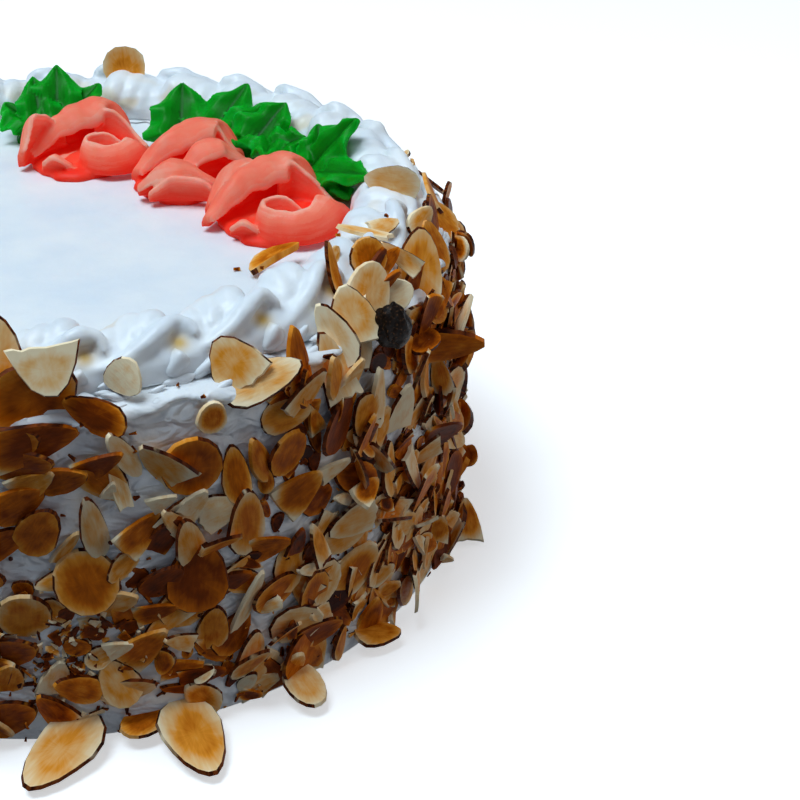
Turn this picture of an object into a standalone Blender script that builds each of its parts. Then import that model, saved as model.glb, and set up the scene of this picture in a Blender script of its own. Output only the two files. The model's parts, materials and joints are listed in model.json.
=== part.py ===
"""Whole round cassata: a cream-frosted cake with almond slices, a piped border and ribbon flowers."""

import math
import random

import bmesh
import bpy
from mathutils import Matrix, Vector

MM = 0.001

# Frosted body
TOP_RADIUS = 102 * MM
FOOT_RADIUS = 104.5 * MM
BODY_HEIGHT = 88 * MM
LIP_ROUND = 7 * MM
FOOT_ROUND = 2 * MM
BODY_SEGMENTS = 64

# Piped border round the top
SHELL_COUNT = 28
BORDER_RADIUS = 86.5 * MM
BORDER_HALF_WIDTH = 10.5 * MM
BORDER_HEIGHT = 13.8 * MM
CREASE_DEPTH = 4.6 * MM
CREASE_SLANT = 0.85
STEPS_PER_SHELL = 5
BORDER_RING_POINTS = 10

# Piped icing on the top
RIBBON_THICKNESS = 2.6 * MM
RIBBON_STEPS = 6
RIBBON_FOOT = 1.3 * MM
ICING_VOXEL = 0.55 * MM
FLOWER_TRIANGLES = 940
LEAF_TRIANGLES = 100
LEAF_STEPS = 9
LEAF_FOOT = 2.6 * MM
LEAF_RUFFLE = 1.3 * MM
LEAF_LIFT = 0.23 * MM
LEAF_SECTION = ((-1, 0.0), (-0.5, 0.7), (0, 0.25), (0.5, 0.7), (1, 0.0), (0, -0.75))
GAP = 0.3 * MM
WELD = 0.03 * MM

# Almond slices
SLICE_THICKNESS = 1.3 * MM
SLICE_POINTS = 8
SLICE_ROWS = 7
SLICES_PER_ROW = 12
SLICE_SEED = 23
FOOT_SLICE_TILT = 78
SLICE_SETTLE = 0.7
SLICE_SINK = 0.25

RAISIN_LENGTH = 12 * MM
RAISIN_WIDTH = 9.5 * MM

CREAM = ((0.83, 0.86, 0.88), 0.45)
CORAL = ((0.83, 0.16, 0.12), 0.4)
LEAF_GREEN = ((0.0, 0.24, 0.04), 0.35)
DRIED_FRUIT = ((0.02, 0.012, 0.008), 0.5)

# Almond slices on the side that are placed one by one:
# (azimuth deg, height mm, length mm, width mm, turn deg, lean deg, roll deg)
SIDE_SLICES = [
    (-8, 77, 15, 9, 80, 16, 14),
    (-9, 67, 14, 9, 60, -14, 16),
    (-7, 60, 15, 10, 30, 15, -14),
    (-10, 38, 14, 13, 10, 14, 12),
    (-14, 9, 15, 12, 80, -14, 12),
    (-8, 11, 12, 9, -30, 16, -12),
    (1, 76, 12, 7, 60, 24, 18),
    (4, 77, 15, 5, -25, 14, 24),
    (3, 70, 13, 4, -12, -16, 20),
    (-0.5, 60, 19, 6.5, -6, 13, 26),
    (12, 71, 16, 14.5, 0, 12, -10),
    (5, 57, 12, 9, 55, -18, 12),
    (8, 55, 12, 8, 35, 17, 12),
    (-2, 46, 17, 15, -15, -12, 12),
    (1, 39, 12, 8, 70, 16, 12),
    (15, 58, 11, 10, 70, 14, -16),
    (18.5, 53, 20, 10.5, -4, 12, 14),
    (11, 51, 18, 8, -10, 15, 16),
    (11.5, 42, 18, 15, 10, -12, -14),
    (4, 26, 14, 11, 50, 14, 10),
    (0.5, 17, 14, 10, -25, -14, 14),
    (13, 27, 14, 8, 8, 15, -16),
    (18, 31, 19, 4.5, 22, 12, 24),
    (11, 14, 12, 7, 85, 16, 10),
    (25, 77, 13, 9, 85, 16, -12),
    (21, 68, 15, 6, -22, 14, 22),
    (17.5, 66, 15, 7, -2, -14, -18),
    (25, 67, 13, 11, 15, 14, 14),
    (33, 69, 16, 11, 50, -14, 16),
    (41, 70, 20, 8.5, -12, 13, 18),
    (26.5, 56, 13, 11, 60, 14, -12),
    (36, 52, 14, 9, -60, -15, 14),
    (46.5, 62, 14, 11, 5, 14, -14),
    (43, 48, 15, 8, 10, -14, 18),
    (33.5, 38, 14, 12, 80, 12, 10),
    (22, 31, 14, 10, 80, -14, 12),
    (35, 26, 17, 12, 45, 13, -10),
    (38, 42, 13, 10, -40, 15, 14),
    (18, 16, 15, 8.5, 8, 13, 16),
    (25, 10, 14, 11, 40, -14, 14),
    (32, 7, 13, 5.5, 0, 14, 24),
    (38, 8, 14, 8, 12, 14, -18),
    (46, 8, 14, 8.5, -50, 15, 14),
    (53, 12, 12, 8, -20, 14, 16),
    (54, 64, 12, 7, 20, -16, 18),
    (54, 38, 14, 8, 5, 15, -16),
]

# Thick pieces and slices that stand out from the side: (azimuth, height, length, width, turn, lean, roll, out mm)
PROUD_SLICES = [
    (72, 54, 17, 10, 78, 8, 62, 3.5),
    (75, 43, 14, 7, 70, 0, 50, 2.5),
    (74, 31, 14, 8, 75, 0, 52, 2.5),
    (70, 17, 13, 8, 20, 30, 30, 1.5),
    (68, 6, 13, 9, 60, 0, 52, 2.5),
]

# Slices at the foot that lean on the side: (azimuth, length, width, turn deg)
FOOT_SLICES = [
    (-7, 25, 15, 38),
    (8.5, 25, 15, -6),
    (3, 12, 9, 70),
    (24, 15, 10, 8),
    (38, 13, 9, -50),
    (120, 16, 10, 15),
    (205, 18, 11, -25),
    (262, 15, 10, 30),
    (312, 20, 12, -10),
]

# Slices on the border: (azimuth, radius mm, height above the top mm, length, width, turn, lean, roll)
BORDER_SLICES = [
    (-10, 94, 9, 20, 15, 5, -24, 4),
    (-4, 93.5, 6.5, 14, 13, 80, -28, -6),
    (5.5, 95.5, 5.5, 10, 9, -30, -30, 4),
    (19, 95.5, 7, 14, 13, -20, -38, 4),
    (30, 95, 7.5, 15, 6.5, -10, -18, 12),
    (35, 95.5, 9, 18, 10, -12, -26, -10),
    (46, 91, 13, 13, 10, 60, -56, 6),
    (58, 94.5, 9.5, 18, 10.5, 0, -26, 10),
    (73, 87.5, 13.8, 15, 10, 80, -82, 8),
    (164.5, 88, 11.5, 17, 13, 188, 0, -12),
    (222, 94.5, 8, 16, 11, 30, -30, 8),
    (290, 94.5, 8.5, 17, 12, -25, -28, 8),
    (328, 94.5, 8, 15, 11, 70, -34, -8),
]

# Sliver that leans on the inside of the border: two ends, mm from the axis and above the top
SLIVER_ENDS = ((47.5, -60, 10.5), (57, -37, 2.6))
SLIVER_WIDTH = 4 * MM

# Ribbons of the flowers: plan points in mm, width of the ribbon at each, lean at foot and at edge
FLOWERS = {
    "ribbon_flower_1": {
        "pad": ((8, 43), (17.5, 15), 35),
        "ribbons": [
            ([(-8, 42), (-3, 48), (4, 53.5), (12, 57.5), (19, 56.5), (22, 51)], (11, 17, 20, 21, 19, 11), (-18, 84)),
            ([(22.5, 45), (21.5, 36), (15, 30.5), (8, 33), (6.5, 39.5), (11, 43.5), (16, 43)],
             (6, 8, 8.5, 9, 9, 8, 6), (4, -14)),
            ([(-5, 36), (0, 33.5), (4.5, 32.5)], (5, 7, 5), (20, 60)),
        ],
    },
    "ribbon_flower_2": {
        "pad": ((37, 20), (17, 14.5), 35),
        "ribbons": [
            ([(21.5, 21), (26, 27), (33, 31), (41, 34.5), (48, 34), (51.5, 28)], (12, 17, 19, 21, 19, 11), (-18, 84)),
            ([(29, 15), (37, 19), (45, 22.5), (53, 21)], (8, 13, 14, 9), (-20, 80)),
            ([(21.5, 9), (28, 10), (34, 10.5), (42, 8)], (9, 11, 11, 8), (-20, 85)),
        ],
    },
    "ribbon_flower_3": {
        "pad": ((56, -12.5), (18, 17), 25),
        "ribbons": [
            ([(37, -14), (42, -6.5), (50, 0), (58, 3.5), (65, 2), (68, -4)], (10, 17, 20, 22, 20, 11), (-18, 84)),
            ([(73, -12), (71, -21.5), (63, -27), (54.5, -25.5), (51.5, -19), (56.5, -14.5), (62, -15)],
             (6, 8, 8.5, 9, 9, 8, 6), (4, -14)),
            ([(40, -19.5), (44.5, -22), (48.5, -23.5)], (5, 7, 5), (20, 60)),
        ],
    },
}

# Piped leaves: a pad, then foot and tip in mm, height of the tip above the top, width
LEAVES = {
    "piped_leaves_left": {
        "pad": ((-1.5, 64), (10, 4.5), 5),
        "leaves": [
            ((1.3, 62.4), (3, 77), 18, 18),
            ((-3.6, 61.3), (-4.4, 75), 15.5, 14),
            ((4.6, 63.8), (14.5, 73), 9.5, 14),
            ((-6.4, 63.1), (-14, 71), 9, 15),
            ((-2.1, 65.6), (-10, 60), 4, 11),
        ],
    },
    "piped_leaves_middle": {
        "pad": ((49.5, 42), (18, 5), -37),
        "leaves": [
            ((36, 45), (39, 61), 16, 21),
            ((44.7, 42.2), (59, 52), 15, 18),
            ((55.4, 33.1), (66, 37), 14, 19),
            ((60.9, 27.2), (67, 21.5), 7, 13),
            ((60.8, 31.3), (58, 19), 5, 10),
        ],
    },
    "piped_leaves_right": {
        "pad": ((71.4, 12.5), (7.5, 4.2), 78),
        "leaves": [
            ((70.2, 14.6), (83, 11), 18, 18),
            ((73.3, 10.4), (80, -17), 15, 13),
            ((71.6, 15.3), (73.5, 26), 11, 11),
        ],
    },
}

RAISIN_AZIMUTH = 42
RAISIN_HEIGHT = 89 * MM


def clear_scene():
    """Remove every object that the file opens with."""
    for obj in list(bpy.data.objects):
        bpy.data.objects.remove(obj, do_unlink=True)


def make_material(name, finish):
    """Return a Principled material with the given colour and roughness."""
    colour, roughness = finish
    material = bpy.data.materials.new(name)
    material.use_nodes = True
    shader = material.node_tree.nodes["Principled BSDF"]
    shader.inputs["Base Color"].default_value = (*colour, 1.0)
    shader.inputs["Roughness"].default_value = roughness
    shader.inputs["Metallic"].default_value = 0.0
    return material


def link_mesh(name, bm, material=None, collection=None):
    """Turn a bmesh into a linked, smooth shaded object."""
    bmesh.ops.recalc_face_normals(bm, faces=bm.faces)
    if bm.calc_volume(signed=True) < 0:
        bmesh.ops.reverse_faces(bm, faces=bm.faces)
    mesh = bpy.data.meshes.new(name)
    bm.to_mesh(mesh)
    bm.free()
    for polygon in mesh.polygons:
        polygon.use_smooth = True
    if material:
        mesh.materials.append(material)
    obj = bpy.data.objects.new(name, mesh)
    (collection or bpy.context.scene.collection).objects.link(obj)
    return obj


def bake(obj):
    """Replace an object's mesh by the one its modifiers make."""
    graph = bpy.context.evaluated_depsgraph_get()
    mesh = bpy.data.meshes.new_from_object(obj.evaluated_get(graph))
    obj.modifiers.clear()
    obj.data = mesh


def join_all(obj, pieces, operation="UNION", solver="EXACT"):
    """Combine an object with every piece of a list, then remove the pieces."""
    group = bpy.data.collections.new(obj.name + "_pieces")
    bpy.context.scene.collection.children.link(group)
    for piece in pieces:
        group.objects.link(piece)
        bpy.context.scene.collection.objects.unlink(piece)
    modifier = obj.modifiers.new("join", "BOOLEAN")
    modifier.operation = operation
    modifier.solver = solver
    modifier.operand_type = "COLLECTION"
    modifier.collection = group
    bake(obj)
    for piece in pieces:
        bpy.data.objects.remove(piece, do_unlink=True)
    bpy.data.collections.remove(group)
    drop_scraps(obj)


def drop_scraps(obj):
    """Keep the largest connected shell of a mesh."""
    bm = bmesh.new()
    bm.from_mesh(obj.data)
    left = set(bm.verts)
    shells = []
    while left:
        stack = [left.pop()]
        shell = set(stack)
        while stack:
            for edge in stack.pop().link_edges:
                for vert in edge.verts:
                    if vert not in shell:
                        shell.add(vert)
                        stack.append(vert)
        left -= shell
        shells.append(shell)
    shells.sort(key=len)
    for shell in shells[:-1]:
        bmesh.ops.delete(bm, geom=list(shell), context="VERTS")
    bm.to_mesh(obj.data)
    bm.free()


def weld(obj):
    """Merge points that all but touch, where that leaves the mesh closed."""
    for share in (1.0, 0.5, 0.2, 0.05):
        bm = bmesh.new()
        bm.from_mesh(obj.data)
        bmesh.ops.triangulate(bm, faces=bm.faces)
        bmesh.ops.remove_doubles(bm, verts=bm.verts, dist=WELD * share)
        closed = all(len(edge.link_faces) == 2 for edge in bm.edges)
        if closed:
            bm.to_mesh(obj.data)
        bm.free()
        if closed:
            return


def melt(obj, pieces, triangles):
    """Fuse an object with the icing that overlaps it into one skin of about so many triangles.

    A piped ribbon folds over itself, which a Boolean leaves crossed, so a voxel remesh makes the skin.
    """
    bm = bmesh.new()
    bm.from_mesh(obj.data)
    for piece in pieces:
        bm.from_mesh(piece.data)
        bpy.data.objects.remove(piece, do_unlink=True)
    bm.to_mesh(obj.data)
    bm.free()
    skin = obj.modifiers.new("skin", "REMESH")
    skin.mode = "VOXEL"
    skin.voxel_size = ICING_VOXEL
    skin.use_smooth_shade = True
    bake(obj)
    join_all(obj, [border_room()], "DIFFERENCE", "MANIFOLD")
    thin = obj.modifiers.new("thin", "DECIMATE")
    thin.use_collapse_triangulate = True
    thin.ratio = triangles / sum(len(polygon.vertices) - 2 for polygon in obj.data.polygons)
    bake(obj)
    weld(obj)


def grid_faces(bm, rings, closed):
    """Skin a list of equal vertex rings with quads."""
    pairs = list(zip(rings, rings[1:]))
    if closed:
        pairs.append((rings[-1], rings[0]))
    for low, high in pairs:
        count = len(low)
        for i in range(count):
            j = (i + 1) % count
            bm.faces.new((low[i], low[j], high[j], high[i]))


def radial(azimuth_deg):
    """Unit vector out from the axis: azimuth 0 faces the front, 90 the right."""
    angle = math.radians(azimuth_deg)
    return Vector((math.sin(angle), -math.cos(angle), 0.0))


def side_radius(height):
    """Radius of the frosted side at a height."""
    share = min(max(height / BODY_HEIGHT, 0.0), 1.0)
    return FOOT_RADIUS + (TOP_RADIUS - FOOT_RADIUS) * share


def body_profile():
    """Half outline of the frosted body, from the foot up to the lip."""
    points = [(FOOT_RADIUS - FOOT_ROUND, 0.0), (FOOT_RADIUS, FOOT_ROUND)]
    for height in (BODY_HEIGHT * 0.35, BODY_HEIGHT * 0.7):
        points.append((side_radius(height), height))
    for step in range(4):
        turn = math.radians(90 * step / 3)
        points.append((
            TOP_RADIUS - LIP_ROUND * (1 - math.cos(turn)),
            BODY_HEIGHT - LIP_ROUND * (1 - math.sin(turn)),
        ))
    return points


def make_body():
    """Frosted drum as a lathed solid."""
    bm = bmesh.new()
    rings = []
    for radius, height in body_profile():
        ring = []
        for i in range(BODY_SEGMENTS):
            ring.append(bm.verts.new(radial(360 * i / BODY_SEGMENTS) * radius + Vector((0, 0, height))))
        rings.append(ring)
    grid_faces(bm, rings, closed=False)
    bm.faces.new(rings[0])
    bm.faces.new(rings[-1])
    return link_mesh("cake", bm, make_material("whipped_cream_body", CREAM))


def slice_outline(length, width):
    """Almond outline, narrower at its upper end."""
    points = []
    for i in range(SLICE_POINTS):
        turn = 2 * math.pi * (i + 0.5) / SLICE_POINTS
        points.append((
            width / 2 * math.sin(turn) * (1 - 0.28 * math.cos(turn)),
            length / 2 * math.cos(turn),
        ))
    return points


def slice_matrix(centre, outward, turn, lean, roll):
    """Frame of a slice: Y along its length, Z out of the surface it lies on."""
    across = Vector((0, 0, 1)).cross(outward).normalized()
    basis = Matrix((across, outward.cross(across), outward)).transposed().to_4x4()
    spin = Matrix.Rotation(math.radians(-turn), 4, "Z")
    tilt = Matrix.Rotation(math.radians(lean), 4, "X") @ Matrix.Rotation(math.radians(roll), 4, "Y")
    return Matrix.Translation(centre) @ basis @ spin @ tilt


def almond_slice(matrix, length, width, thickness=SLICE_THICKNESS):
    """One almond slice as a loose object."""
    bm = bmesh.new()
    outline = slice_outline(length, width)
    lower = [bm.verts.new((x, y, -thickness / 2)) for x, y in outline]
    upper = [bm.verts.new((x, y, thickness / 2)) for x, y in outline]
    grid_faces(bm, [lower, upper], closed=False)
    bm.faces.new(lower)
    bm.faces.new(upper)
    bm.transform(matrix)
    return link_mesh("slice", bm)


def shift_between(obj, low, high):
    """Move a slice up or down until it lies between two heights."""
    heights = [vert.co.z for vert in obj.data.vertices]
    move = max(0.0, low - min(heights)) - max(0.0, max(heights) - high)
    obj.data.transform(Matrix.Translation((0, 0, move)))


def clear_of_raisin(azimuth, height, reach):
    """Tell whether a slice of a given reach stays off the raisin."""
    arc = math.radians(azimuth - RAISIN_AZIMUTH) * TOP_RADIUS
    return math.hypot(arc, height - RAISIN_HEIGHT) > reach + RAISIN_LENGTH / 2 + GAP


def side_slice(azimuth, height, length, width, turn, lean, roll, out=None):
    """Slice pressed into the frosted side, its lowest corner in the cream unless out is given."""
    if out is None:
        lean *= SLICE_SETTLE
        roll *= SLICE_SETTLE
        low = length * abs(math.sin(math.radians(lean))) + width * abs(math.sin(math.radians(roll)))
        out = 0.42 * low - SLICE_SINK
    outward = radial(azimuth)
    centre = outward * (side_radius(height * MM) + out * MM) + Vector((0, 0, height * MM))
    matrix = slice_matrix(centre, outward, turn, lean, roll)
    obj = almond_slice(matrix, length * MM, width * MM)
    shift_between(obj, 0.4 * MM, BODY_HEIGHT - 1.2 * MM)
    return obj


def foot_slice(azimuth, length, width, turn):
    """Slice that lies at the foot with one end on the side."""
    outward = radial(azimuth)
    reach = length * MM * math.cos(math.radians(turn))
    centre = outward * (FOOT_RADIUS + reach * 0.42) + Vector((0, 0, 4.5 * MM))
    matrix = slice_matrix(centre, outward, 180 + turn, 0, 0)
    flat = Matrix.Translation(centre) @ Matrix.Rotation(
        math.radians(-FOOT_SLICE_TILT), 4, Vector((0, 0, 1)).cross(outward)) @ Matrix.Translation(-centre)
    obj = almond_slice(flat @ matrix, length * MM, width * MM)
    shift_between(obj, 0.4 * MM, BODY_HEIGHT)
    return obj


def side_slices():
    """Every slice of the side: the placed ones, then an even rule round the rest."""
    pieces = [side_slice(*row) for row in SIDE_SLICES + PROUD_SLICES]
    pieces += [foot_slice(*row) for row in FOOT_SLICES]
    draw = random.Random(SLICE_SEED)
    first, last = -17, 62
    for row in range(SLICE_ROWS):
        for column in range(SLICES_PER_ROW):
            azimuth = (column + 0.5 * (row % 2) + draw.uniform(-0.3, 0.3)) * 360 / SLICES_PER_ROW
            height = (row + 0.5 + draw.uniform(-0.3, 0.3)) * 86 / SLICE_ROWS
            length = draw.uniform(14, 19)
            width = length * draw.uniform(0.55, 0.75)
            turn = draw.uniform(-90, 90)
            lean = draw.choice((-1, 1)) * draw.uniform(12, 20)
            roll = draw.choice((-1, 1)) * draw.uniform(10, 20)
            wrapped = (azimuth + 180) % 360 - 180
            if first < wrapped < last:
                continue
            if clear_of_raisin(wrapped, height * MM, length * MM / 2):
                pieces.append(side_slice(azimuth, height, length, width, turn, lean, roll))
    return pieces


def shell_swell(along, round_turn):
    """Share of the full shell size at a place along the border and round its rope."""
    phase = (along - CREASE_SLANT * (round_turn / math.pi - 0.5)) % 1.0
    rise = math.sin(math.pi * phase ** 1.6)
    return rise ** 0.7 if rise > 0 else 0.0


def border_point(along, round_turn, swell):
    """Point on the border: along counts shells, round_turn runs from the outer foot over the top."""
    depth = CREASE_DEPTH * (1 - swell)
    half_width = BORDER_HALF_WIDTH - 0.45 * depth
    height = BORDER_HEIGHT - depth
    outward = radial(360 * along / SHELL_COUNT)
    radius = BORDER_RADIUS + half_width * math.cos(round_turn)
    rise = BODY_HEIGHT + GAP + height * max(math.sin(round_turn), 0.0)
    return outward * radius + Vector((0, 0, rise))


def make_border():
    """Closed ring of piped shells with its own almond slices."""
    bm = bmesh.new()
    rings = []
    steps = SHELL_COUNT * STEPS_PER_SHELL
    for i in range(steps):
        along = i / STEPS_PER_SHELL
        ring = []
        for k in range(BORDER_RING_POINTS):
            turn = math.pi * k / (BORDER_RING_POINTS - 1)
            foot = math.sin(turn) ** 0.5 if 0 < k < BORDER_RING_POINTS - 1 else 0.0
            swell = 1 - foot * (1 - shell_swell(along, turn))
            ring.append(bm.verts.new(border_point(along, turn, swell)))
        rings.append(ring)
    grid_faces(bm, rings, closed=True)
    border = link_mesh("shell_border", bm, make_material("whipped_cream_border", CREAM))
    join_all(border, border_slices(), solver="MANIFOLD")
    weld(border)
    return border


def border_slices():
    """Slices that lie on the border, and the sliver inside it."""
    pieces = []
    for azimuth, radius, height, length, width, turn, lean, roll in BORDER_SLICES:
        outward = radial(azimuth)
        centre = outward * radius * MM + Vector((0, 0, BODY_HEIGHT + height * MM))
        matrix = slice_matrix(centre, outward, turn, lean, roll)
        obj = almond_slice(matrix, length * MM, width * MM)
        shift_between(obj, BODY_HEIGHT + GAP, 1.0)
        pieces.append(obj)
    start, end = [Vector((x, y, z)) * MM + Vector((0, 0, BODY_HEIGHT)) for x, y, z in SLIVER_ENDS]
    along = (end - start).normalized()
    across = Vector((0, 0, 1)).cross(along).normalized()
    basis = Matrix((across, along, across.cross(along))).transposed().to_4x4()
    matrix = Matrix.Translation((start + end) / 2) @ basis
    pieces.append(almond_slice(matrix, (end - start).length, SLIVER_WIDTH, 2 * SLICE_THICKNESS))
    return pieces


def border_room():
    """Smooth ring a little larger than the border, which the piped icing is trimmed by."""
    bm = bmesh.new()
    rings = []
    for i in range(SHELL_COUNT * 3):
        outward = radial(360 * i / (SHELL_COUNT * 3))
        ring = []
        for k in range(9):
            turn = math.pi * k / 8
            radius = BORDER_RADIUS + (BORDER_HALF_WIDTH + 2 * GAP) * math.cos(turn)
            rise = BODY_HEIGHT - MM + (BORDER_HEIGHT + MM + 3 * GAP) * max(math.sin(turn), 0.0)
            ring.append(bm.verts.new(outward * radius + Vector((0, 0, rise))))
        rings.append(ring)
    grid_faces(bm, rings, closed=True)
    return link_mesh("room", bm)


def curve_through(points, steps):
    """Catmull-Rom points through a list of vectors."""
    padded = [points[0] * 2 - points[1]] + points + [points[-1] * 2 - points[-2]]
    result = []
    for i in range(1, len(padded) - 2):
        a, b, c, d = padded[i - 1:i + 3]
        for step in range(steps):
            t = step / steps
            result.append(0.5 * (
                b * 2 + (c - a) * t + (a * 2 - b * 5 + c * 4 - d) * t * t
                + (b * 3 - a - c * 3 + d) * t * t * t
            ))
    result.append(points[-1].copy())
    return result


def ribbon(plan, widths, leans):
    """Upright ribbon that follows a plan line and curls over from its foot to its edge."""
    keys = [Vector((x * MM, y * MM, width * MM)) for (x, y), width in zip(plan, widths)]
    path = curve_through(keys, RIBBON_STEPS)
    bm = bmesh.new()
    rings = []
    for i, key in enumerate(path):
        before, after = path[max(i - 1, 0)], path[min(i + 1, len(path) - 1)]
        along = Vector((after.x - before.x, after.y - before.y, 0)).normalized()
        side = along.cross(Vector((0, 0, 1)))
        spot = Vector((key.x, key.y, BODY_HEIGHT + RIBBON_FOOT))
        near, far = [], []
        stations = 4
        for k in range(stations):
            share = k / (stations - 1)
            lean = math.radians(leans[0] + (leans[1] - leans[0]) * share)
            grow = side * math.sin(lean) + Vector((0, 0, math.cos(lean)))
            if k:
                spot = spot + grow * key.z / (stations - 1)
            face = side * math.cos(lean) - Vector((0, 0, math.sin(lean)))
            half = RIBBON_THICKNESS / 2 * (1.15 - 0.55 * share)
            near.append(spot - face * half)
            far.append(spot + face * half)
        rings.append([bm.verts.new(co) for co in near + far[::-1]])
    grid_faces(bm, rings, closed=False)
    bm.faces.new(rings[0])
    bm.faces.new(rings[-1])
    bmesh.ops.triangulate(bm, faces=bm.faces)
    return link_mesh("ribbon", bm)


def icing_pad(name, pad, material):
    """Low rounded pad of icing that ribbons or leaves stand on."""
    (x, y), (long_half, short_half), turn = pad
    bm = bmesh.new()
    rings = []
    spin = Matrix.Rotation(math.radians(turn), 4, "Z")
    for height, scale in ((GAP, 1.0), (1.4 * MM, 0.96), (2.2 * MM, 0.8)):
        ring = []
        for i in range(16):
            angle = 2 * math.pi * i / 16
            wave = scale * (1 + 0.05 * math.cos(5 * angle))
            flat = spin @ Vector((long_half * math.cos(angle), short_half * math.sin(angle), 0)) * wave * MM
            ring.append(bm.verts.new(flat + Vector((x * MM, y * MM, BODY_HEIGHT + height))))
        rings.append(ring)
    grid_faces(bm, rings, closed=False)
    bm.faces.new(rings[0])
    bm.faces.new(rings[-1])
    return link_mesh(name, bm, material)


def make_flower(name, spec, material):
    """Folded ribbons on a thin pad of the same icing."""
    flower = icing_pad(name, spec["pad"], material)
    melt(flower, [ribbon(*row) for row in spec["ribbons"]], FLOWER_TRIANGLES)
    return flower


def leaf(foot, tip, rise, width, lift=0.0):
    """Piped leaf: a ruffled tongue that thins to a raised point."""
    start = Vector((foot[0] * MM, foot[1] * MM, BODY_HEIGHT + GAP + 0.95 * LEAF_FOOT + lift))
    end = Vector((tip[0] * MM, tip[1] * MM, BODY_HEIGHT + rise * MM))
    across = Vector((0, 0, 1)).cross(end - start).normalized()
    bm = bmesh.new()
    rings = []
    for i in range(LEAF_STEPS):
        share = i / LEAF_STEPS
        centre = start.lerp(end, share)
        centre.z = start.z + (end.z - start.z) * (1 - (1 - share) ** 2)
        half = width / 2 * MM * (0.8 + 0.6 * share) * (1 - share ** 1.7)
        thick = LEAF_FOOT * (1.25 - 0.95 * share)
        ruffle = LEAF_RUFFLE * math.cos(math.pi * i) * min(share * 3, 1)
        ring = []
        for x, z in LEAF_SECTION:
            rise_here = z * thick + ruffle * x * x
            ring.append(bm.verts.new(centre + across * x * half + Vector((0, 0, rise_here))))
        rings.append(ring)
    grid_faces(bm, rings, closed=False)
    bm.faces.new(rings[0])
    point = bm.verts.new(end)
    last = rings[-1]
    for i, vert in enumerate(last):
        bm.faces.new((vert, last[(i + 1) % len(last)], point))
    bmesh.ops.triangulate(bm, faces=bm.faces)
    return link_mesh("leaf", bm)


def make_leaves(name, spec, material):
    """A cluster of piped leaves that share one pad."""
    rows = spec["leaves"]
    leaves = [leaf(*row, lift=LEAF_LIFT * i) for i, row in enumerate(rows)]
    cluster = icing_pad(name, spec["pad"], material)
    melt(cluster, leaves, LEAF_TRIANGLES * len(rows))
    return cluster


def make_raisin():
    """Wrinkled dried fruit that lies against the shoulder."""
    bm = bmesh.new()
    bmesh.ops.create_icosphere(bm, subdivisions=2, radius=1.0)
    for vert in bm.verts:
        x, y, z = vert.co
        wrinkle = 1 - 0.07 * (1 + math.sin(5 * math.atan2(y, x) + 4 * z))
        vert.co = Vector((x * RAISIN_WIDTH / 2, y * RAISIN_WIDTH / 2, z * RAISIN_LENGTH / 2)) * wrinkle
    outward = radial(RAISIN_AZIMUTH)
    centre = outward * (side_radius(RAISIN_HEIGHT) + RAISIN_WIDTH / 2 + GAP)
    bm.transform(Matrix.Translation(centre + Vector((0, 0, RAISIN_HEIGHT))))
    return link_mesh("raisin", bm, make_material("dried_fruit", DRIED_FRUIT))


def build():
    """Build the whole cake."""
    clear_scene()
    body = make_body()
    join_all(body, side_slices())
    make_border()
    coral = make_material("coral_icing", CORAL)
    green = make_material("green_icing", LEAF_GREEN)
    for name, spec in FLOWERS.items():
        make_flower(name, spec, coral)
    for name, spec in LEAVES.items():
        make_leaves(name, spec, green)
    make_raisin()


build()
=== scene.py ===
import bpy
import bmesh
import json
import math
import random
from mathutils import Matrix, Vector, noise
from mathutils.kdtree import KDTree

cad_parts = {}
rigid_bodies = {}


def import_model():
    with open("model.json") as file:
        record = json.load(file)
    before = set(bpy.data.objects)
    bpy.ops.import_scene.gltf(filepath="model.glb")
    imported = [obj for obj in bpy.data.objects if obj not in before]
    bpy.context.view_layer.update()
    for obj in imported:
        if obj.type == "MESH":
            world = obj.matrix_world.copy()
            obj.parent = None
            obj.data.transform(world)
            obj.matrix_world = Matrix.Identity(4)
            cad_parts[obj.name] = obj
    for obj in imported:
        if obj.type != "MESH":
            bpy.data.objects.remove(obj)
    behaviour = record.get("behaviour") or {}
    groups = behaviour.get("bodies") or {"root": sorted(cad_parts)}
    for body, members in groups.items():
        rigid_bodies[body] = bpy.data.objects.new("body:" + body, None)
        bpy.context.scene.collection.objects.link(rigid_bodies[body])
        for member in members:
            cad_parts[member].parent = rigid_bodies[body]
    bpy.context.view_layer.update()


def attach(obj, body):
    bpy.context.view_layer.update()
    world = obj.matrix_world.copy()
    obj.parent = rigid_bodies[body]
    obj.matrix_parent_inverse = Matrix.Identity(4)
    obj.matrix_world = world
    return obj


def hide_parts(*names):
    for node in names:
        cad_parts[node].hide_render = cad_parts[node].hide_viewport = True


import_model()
mm = 0.001
up = Vector((0, 0, 1))

# Lengths in this file are in mm and angles in degrees unless a line says otherwise.
# Azimuth 0 faces the front and 90 the right.


# sRGB hex to the linear colour that shader sockets take
def linear(hexText):
    values = []
    for i in (0, 2, 4):
        c = int(hexText[i:i + 2], 16) / 255
        values.append(c / 12.92 if c <= 0.04045 else ((c + 0.055) / 1.055) ** 2.4)
    return (*values, 1.0)


def radial(azimuth):
    angle = math.radians(azimuth)
    return Vector((math.sin(angle), -math.cos(angle), 0))


# 0 below low, 1 above high, smooth between
def ease(value, low, high):
    share = min(max((value - low) / (high - low), 0), 1)
    return share * share * (3 - 2 * share)


# Smooth noise from about -1 to 1 with features of about size mm
def wave(spot, size, seed=0):
    return noise.noise(Vector(spot) / size + Vector((seed * 7.31, seed * 3.17, seed * 1.9)))


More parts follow.
